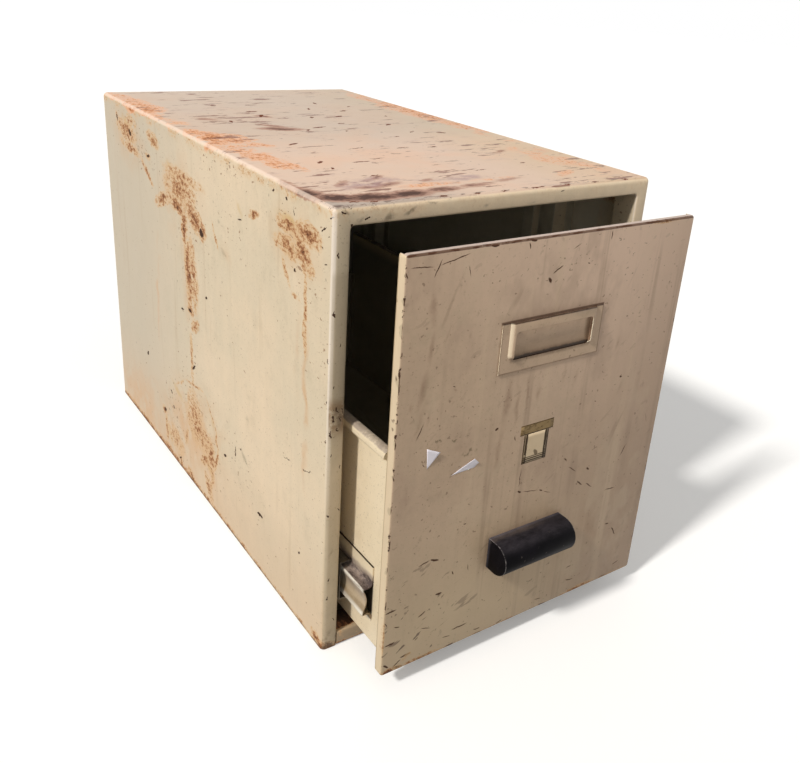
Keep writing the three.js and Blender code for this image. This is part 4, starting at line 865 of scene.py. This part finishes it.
def rail_steel():
    """The drawer's own rail: dull zinc, grease in its gutter and along its lower lip, and lips lightened by
    rubbing and a painted highlight.
    """
    paint = Paint("rail_steel")
    zinc = paint.mix(paint.noise(34, 5, seed=181).ramp(0.4, 0.65), "B5A695", "9C8C7C")
    grain = paint.noise(160, long=(1, 14, 1), seed=182)
    paint.colour = paint.tinted(zinc, grain * 0.28 + 0.86)
    out = paint.x.size()
    # Its flange is painted with the drawer, and the paint gives way to grease towards the gutter.
    painted = (paint.z + paint.noise(60, seed=184) * 0.010).ramp(0.097, 0.108)
    paint.lay(painted, paint.tinted("E6D6B8", grain * 0.1 + 0.95))
    seam = paint.z.ramp(rail_high.z - 0.0011, rail_high.z - 0.0006)
    paint.lay(seam, "3A2C1C")
    gutter = paint.z.ramp(0.084, 0.091) * paint.z.ramp(0.110, 0.096)
    near_front = paint.y.ramp(rail_low.y + 0.060, rail_low.y + 0.010)
    gutter = gutter * (paint.noise(80, 5, 0.78, long=(1, 2.4, 1), seed=183) * 1.9 - 0.35 + near_front * 0.35)
    paint.lay(gutter.ramp(0.05, 0.70) * 0.75, "82726B")
    paint.lay(gutter.ramp(0.60, 0.95) * 0.85, "3A2C2B")
    # The side that faces the drawer is black with old grease and painted shade.
    turned = (paint.nx * paint.x).ramp(-0.03, -0.09) * paint.z.ramp(0.098, 0.092)
    paint.lay(turned * 0.9, "1F1813")
    paint.lay(paint.z.ramp(0.086, 0.070) * (1 - painted) * 0.45, "B9A37A")
    smear = paint.z.ramp(0.078, 0.067) * (paint.noise(45, 5, 0.75, long=(1, 2.5, 1), seed=185) * 1.8)
    paint.lay(smear.ramp(0.5, 1.0) * 0.65, "7A6446")
    # The lips are lightened: rubbed metal and a painted highlight.
    rubbed_and_highlight = paint.noise(120, long=(1, 6, 1), seed=187).ramp(0.30, 0.5)
    lips = out.ramp(0.1650, 0.1664).most(paint.z.ramp(rail_low.z + 0.0020, rail_low.z + 0.0010)) * rubbed_and_highlight
    paint.lay(lips * 0.9, "E9E3D6")
    paint.lay(specks(paint, 220, 0.03, 189) * 0.7, "4C4136")
    paint.bump(grain * 0.5 + paint.noise(350, 4, 0.6, seed=190) * 0.4, 0.00012)
    return paint.done(paint.noise(60, 4, 0.6, seed=191) * 0.25 + 0.38 + gutter * 0.2, lips * 0.5 + 0.25)


def greasy_steel(name, seed, light, dark):
    """Slide members inside the case: steel under old grease and dust."""
    paint = Paint(name)
    cloud = paint.noise(40, 5, 0.72, long=(1, 3, 1), seed=seed).ramp(0.35, 0.68)
    grain = paint.noise(170, long=(1, 16, 1), seed=seed + 1)
    paint.colour = paint.tinted(paint.mix(cloud, light, dark), grain * 0.4 + 0.8)
    paint.lay(paint.noise(70, seed=seed + 2).ramp(0.6, 0.75) * 0.45, "6A472F")
    paint.bump(grain * 0.4 + paint.noise(320, 4, 0.6, seed=seed + 3) * 0.4, 0.00012)
    return paint.done(cloud * 0.25 + 0.35, (1 - cloud) * 0.55 + 0.1)


def ball_steel():
    """The ball cages and the screws: zinc-plated steel, bright where it is worn."""
    paint = Paint("cage_steel")
    spangle = paint.noise(90, 3, 0.6, seed=201).ramp(0.4, 0.6)
    paint.colour = paint.mix(spangle, "A39E93", "8B867C")
    grease = paint.noise(60, 5, 0.75, seed=202).ramp(0.5, 0.75)
    paint.lay(grease * 0.6, "3A322B")
    paint.bump(paint.noise(300, 3, 0.6, seed=203) * 0.3, 0.00008)
    return paint.done(grease * 0.3 + 0.26, (1 - grease) * 0.6 + 0.3)


def black_enamel():
    """The pull: satin black, dusty on top, with a light rim along the end caps, partly paint rubbed through
    and partly a painted highlight.
    """
    paint = Paint("black_enamel")
    cloud = paint.noise(45, 5, seed=211)
    paint.colour = paint.mix(cloud.ramp(0.35, 0.7), "0A090B", "121014")
    up = paint.nz.ramp(0.35, 1.0)
    dust = up * (paint.noise(60, 5, 0.78, long=(2, 1, 1), seed=212) * 1.6 - 0.25)
    paint.lay(dust.ramp(0.05, 0.85) * 0.28, "5C565C")
    near_face = paint.y.ramp(face_low.y - 0.013, face_low.y - 0.005) * paint.nz.ramp(0.4, 0.8)
    film = near_face * (paint.noise(38, 5, 0.75, long=(2.5, 1, 1), seed=214) * 1.9 - 0.35)
    film = film * paint.x.ramp(pull_high.x + 0.02, pull_low.x)
    paint.lay(film.ramp(0.05, 0.60) * 0.40, "6B5D54")
    end = paint.x.off(pull_low.x, pull_high.x)
    half = (pull_high.x - pull_low.x) / 2
    # A light rim on the end caps, where they face front or up: rubbed paint and a painted highlight.
    rim = end.ramp(half - 0.0015, half - 0.0007) * paint.nx.size().ramp(0.98, 0.55)
    rim = rim * paint.ny.ramp(0.0, -0.15).most(up)
    rim = rim * paint.noise(150, 4, 0.75, seed=213).ramp(0.40, 0.62)
    paint.lay(rim * 0.45, "A09A98")
    paint.lay(specks(paint, 190, 0.03, 215) * 0.35, "5D5552")
    back = paint.y.ramp(face_low.y - 0.005, face_low.y - 0.001) * (paint.noise(70, seed=218) * 1.1)
    paint.lay(back.least(1.0) * 0.55, "6E6A72")
    paint.bump(paint.noise(420, 4, 0.6, seed=217) * 0.3 + cloud * 0.3, 0.00012)
    return paint.done(cloud * 0.18 + 0.34 + dust * 0.25, mirror=0.04)


def buffer_rubber():
    """Dull dark rubber."""
    paint = Paint("buffer_rubber")
    cloud = paint.noise(80, seed=221)
    paint.colour = paint.mix(cloud.ramp(0.35, 0.7), "241F1C", "3A332D")
    paint.bump(paint.noise(500, 3, 0.6, seed=222), 0.00008)
    return paint.done(cloud * 0.15 + 0.68)


# ---------------------------------------------------------------- paper and the plain patch

def thin_sheet(name, rim, thickness, lift, material):
    """A thin flat piece on the drawer's face. rim is its corners (x, z) in millimetres, from the lower
    left and anticlockwise, and lift(u, v) is how far each point stands off the face."""
    a, b, c, d = [Vector(corner) for corner in rim]
    form = bmesh.new()
    rows = []
    for u in [i / SHEET_STEPS for i in range(SHEET_STEPS + 1)]:
        rows.append([])
        for v in [j / SHEET_STEPS for j in range(SHEET_STEPS + 1)]:
            p = a.lerp(b, u).lerp(d.lerp(c, u), v)
            rows[-1].append(form.verts.new((p.x * MM, face_low.y - (lift(u, v) + 0.05) * MM, p.y * MM)))
    for row, other in zip(rows, rows[1:]):
        for j in range(SHEET_STEPS):
            form.faces.new((row[j], other[j], other[j + 1], row[j + 1]))
    form.normal_update()
    bmesh.ops.solidify(form, geom=form.faces[:], thickness=thickness * MM)
    bmesh.ops.recalc_face_normals(form, faces=form.faces[:])
    nearest = max(v.co.y for v in form.verts)
    bmesh.ops.translate(form, vec=(0, face_low.y - SHEET_GAP * MM - nearest, 0), verts=form.verts[:])
    mesh = bpy.data.meshes.new(name)
    form.to_mesh(mesh)
    form.free()
    mesh.shade_smooth()
    mesh.materials.append(material)
    piece = in_scene(name, mesh)
    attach(piece, "drawer")


def torn_paper():
    """White pulpy paper with a little dirt."""
    paint = Paint("torn_paper")
    pulp = paint.noise(220, seed=231)
    white = paint.mix(paint.noise(60, 4, 0.6, seed=232), "F4F0F6", "E6E0EA")
    paint.colour = paint.tinted(white, pulp * 0.12 + 0.94)
    dirt = paint.noise(90, seed=233).ramp(0.62, 0.75)
    paint.lay(dirt * 0.5, "9A8F8A")
    paint.bump(pulp, 0.00006)
    return paint.done(pulp * 0.1 + 0.8)


PATCH = (-21.5, 9.5, 214.5, 246.5)
BAND = (-27.0, 14.5, 246.8, 257.5)


def patch_material():
    """A plain bordered patch with a plain band across its head: a dark worn border, two finer lines along
    its foot, and bare cream within."""
    paint = Paint("plain_patch")
    left, right, low, _ = [v * MM for v in PATCH]
    band_low, band_high = [v * MM for v in BAND[2:]]
    ragged = paint.noise(300, 4, 0.75, seed=241)
    across = (right - left) / 2 - paint.x.off(left, right) + (ragged - 0.5) * 0.0012
    border = across.ramp(0.0052, 0.0044)
    line = (across.ramp(0.0012, 0.0016) * across.ramp(0.0024, 0.0020)) * 0.5
    lines = paint.math("PINGPONG", paint.z - low, 0.0011).ramp(0.00045, 0.00075)
    foot = paint.z.ramp(low + 0.0072, low + 0.0066)
    foot = foot * (1 - lines * 0.75)
    paint.colour = paint.mix(paint.noise(90, seed=242), "E6D1B2", "D4BC9A")
    worn = paint.noise(110, 5, 0.78, seed=243).ramp(0.60, 0.66)
    ink = (border * (1 - line * 0.6)).most(foot) * (1 - worn * 0.7)
    in_band = paint.z.ramp(band_low - 0.0003, band_low)
    edge = paint.z.off(band_low, band_high).ramp(0.0040, 0.0046)
    smudge = paint.noise(150, 5, 0.78, long=(2, 1, 1), seed=244).ramp(0.50, 0.62)
    ink = paint.mix(in_band, ink * 0.95, (edge * 0.75).most(smudge * 0.55))
    paint.lay(in_band * 0.9, "937A52")
    paint.lay(ink, "281603")
    paint.lay(specks(paint, 260, 0.05, 245) * 0.6, "6A563A")
    rub = paint.strokes(FRONT, [(-6, 226, -3, 222, 4, .9), (6, 236, 9, 240, 3, .7)],
                        paint.shaken(0.0015, 200, 7)).ramp(0.3, 0.45)
    paint.lay(rub * 0.75, "4D3D2A")
    paint.bump(ragged, 0.00003)
    return paint.done(ragged * 0.1 + 0.46, mirror=0.08)


def make_papers():
    """Two torn scraps of paper with a raised corner, and the patch and its band."""
    white, plain = torn_paper(), patch_material()
    thin_sheet("paper_scrap_left", [(-134.5, 242), (-134, 243), (-122, 257), (-136, 263)], 0.12,
               lambda u, v: 0.1 + 1.6 * u * v, white)
    thin_sheet("paper_scrap_right", [(-106, 227.6), (-80, 228.6), (-76, 233.2), (-81.5, 239)], 0.12,
               lambda u, v: 0.1 + 1.4 * v * v, white)
    for name, (left, right, low, high) in (("plain_patch", PATCH), ("plain_patch_band", BAND)):
        corners = [(left, low), (right, low), (right, high), (left, high)]
        thin_sheet(name, corners, 0.08, lambda u, v: 0.02, plain)


# ---------------------------------------------------------------- dressing the solids

def smooth_edges():
    """A modifier that welds a faceted solid and smooths it except over its sharp edges."""
    tree = bpy.data.node_groups.new("smooth_edges", "GeometryNodeTree")
    for way in ("INPUT", "OUTPUT"):
        tree.interface.new_socket("Geometry", in_out=way, socket_type="NodeSocketGeometry")
    solid = add_node(tree, "NodeGroupInput").outputs[0]
    welded = add_node(tree, "GeometryNodeMergeByDistance", Geometry=solid, Distance=WELD)
    smooth = add_node(tree, "GeometryNodeSetShadeSmooth", Geometry=welded.outputs[0])
    angle = add_node(tree, "GeometryNodeInputMeshEdgeAngle").outputs["Unsigned Angle"]
    sharp = add_node(tree, "FunctionNodeCompare", angle, math.radians(SHARP_ANGLE), data_type="FLOAT",
                     operation="GREATER_THAN")
    creased = add_node(tree, "GeometryNodeSetShadeSmooth", domain="EDGE", Geometry=smooth.outputs[0],
                       Selection=sharp.outputs[0], Shade_Smooth=False)
    add_node(tree, "NodeGroupOutput", creased.outputs[0])
    return tree


def dress():
    """A finish for every solid, by the first key that its name contains."""
    drawer, plated = drawer_enamel(), ball_steel()
    finishes = {
        "outer_wrap": case_enamel(),
        "front_sill": sill_rust(),
        "floor_pan": inside_enamel("case_inside", CASE_MIDDLE, 301, "B5A689", 0.7),
        "back_panel": back_enamel(),
        "upright": inside_enamel("upright_enamel", CASE_MIDDLE, 321, "E0D8C2", 0.2, "F2ECDA"),
        "drawer_face": face_enamel(),
        "card_frame": plate_enamel(),
        # The head's dark khaki is painted shade for the groove it shows behind the face's pan.
        "drawer_head": drawer_enamel("head_enamel_painted_shade", "8F8161", "A08F6C"),
        "drawer_side": drawer,
        "drawer_bottom": drawer,
        "drawer_back": drawer,
        "drawer_rail": rail_steel(),
        "middle_member": greasy_steel("member_steel", 311, "6F675B", "2B2621"),
        "case_member": greasy_steel("case_member_steel", 331, "5A5349", "241F1B"),
        "cage": plated,
        "screw": plated,
        "cup_pull": black_enamel(),
        "buffer": buffer_rubber(),
    }
    soften = smooth_edges()
    for name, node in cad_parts.items():
        modifier = node.modifiers.new("smooth_edges", "NODES")
        modifier.node_group = soften
        key = next(k for k in finishes if k in name)
        for slot in node.material_slots:
            slot.material = finishes[key]


bpy.context.scene.view_settings.view_transform = "Standard"
make_camera()
make_sun("key_lamp", towards=(-0.66, -0.13, 0.62), strength=2.88, softness=6, tint=(1.0, 0.97, 0.92))
make_sun("fill_lamp", towards=(-0.30, -0.92, 0.25), strength=0.30, softness=50, tint=(1.0, 0.98, 0.95))
make_world(ambient=(0.40, 0.395, 0.385))
make_floor()
dress()
make_papers()
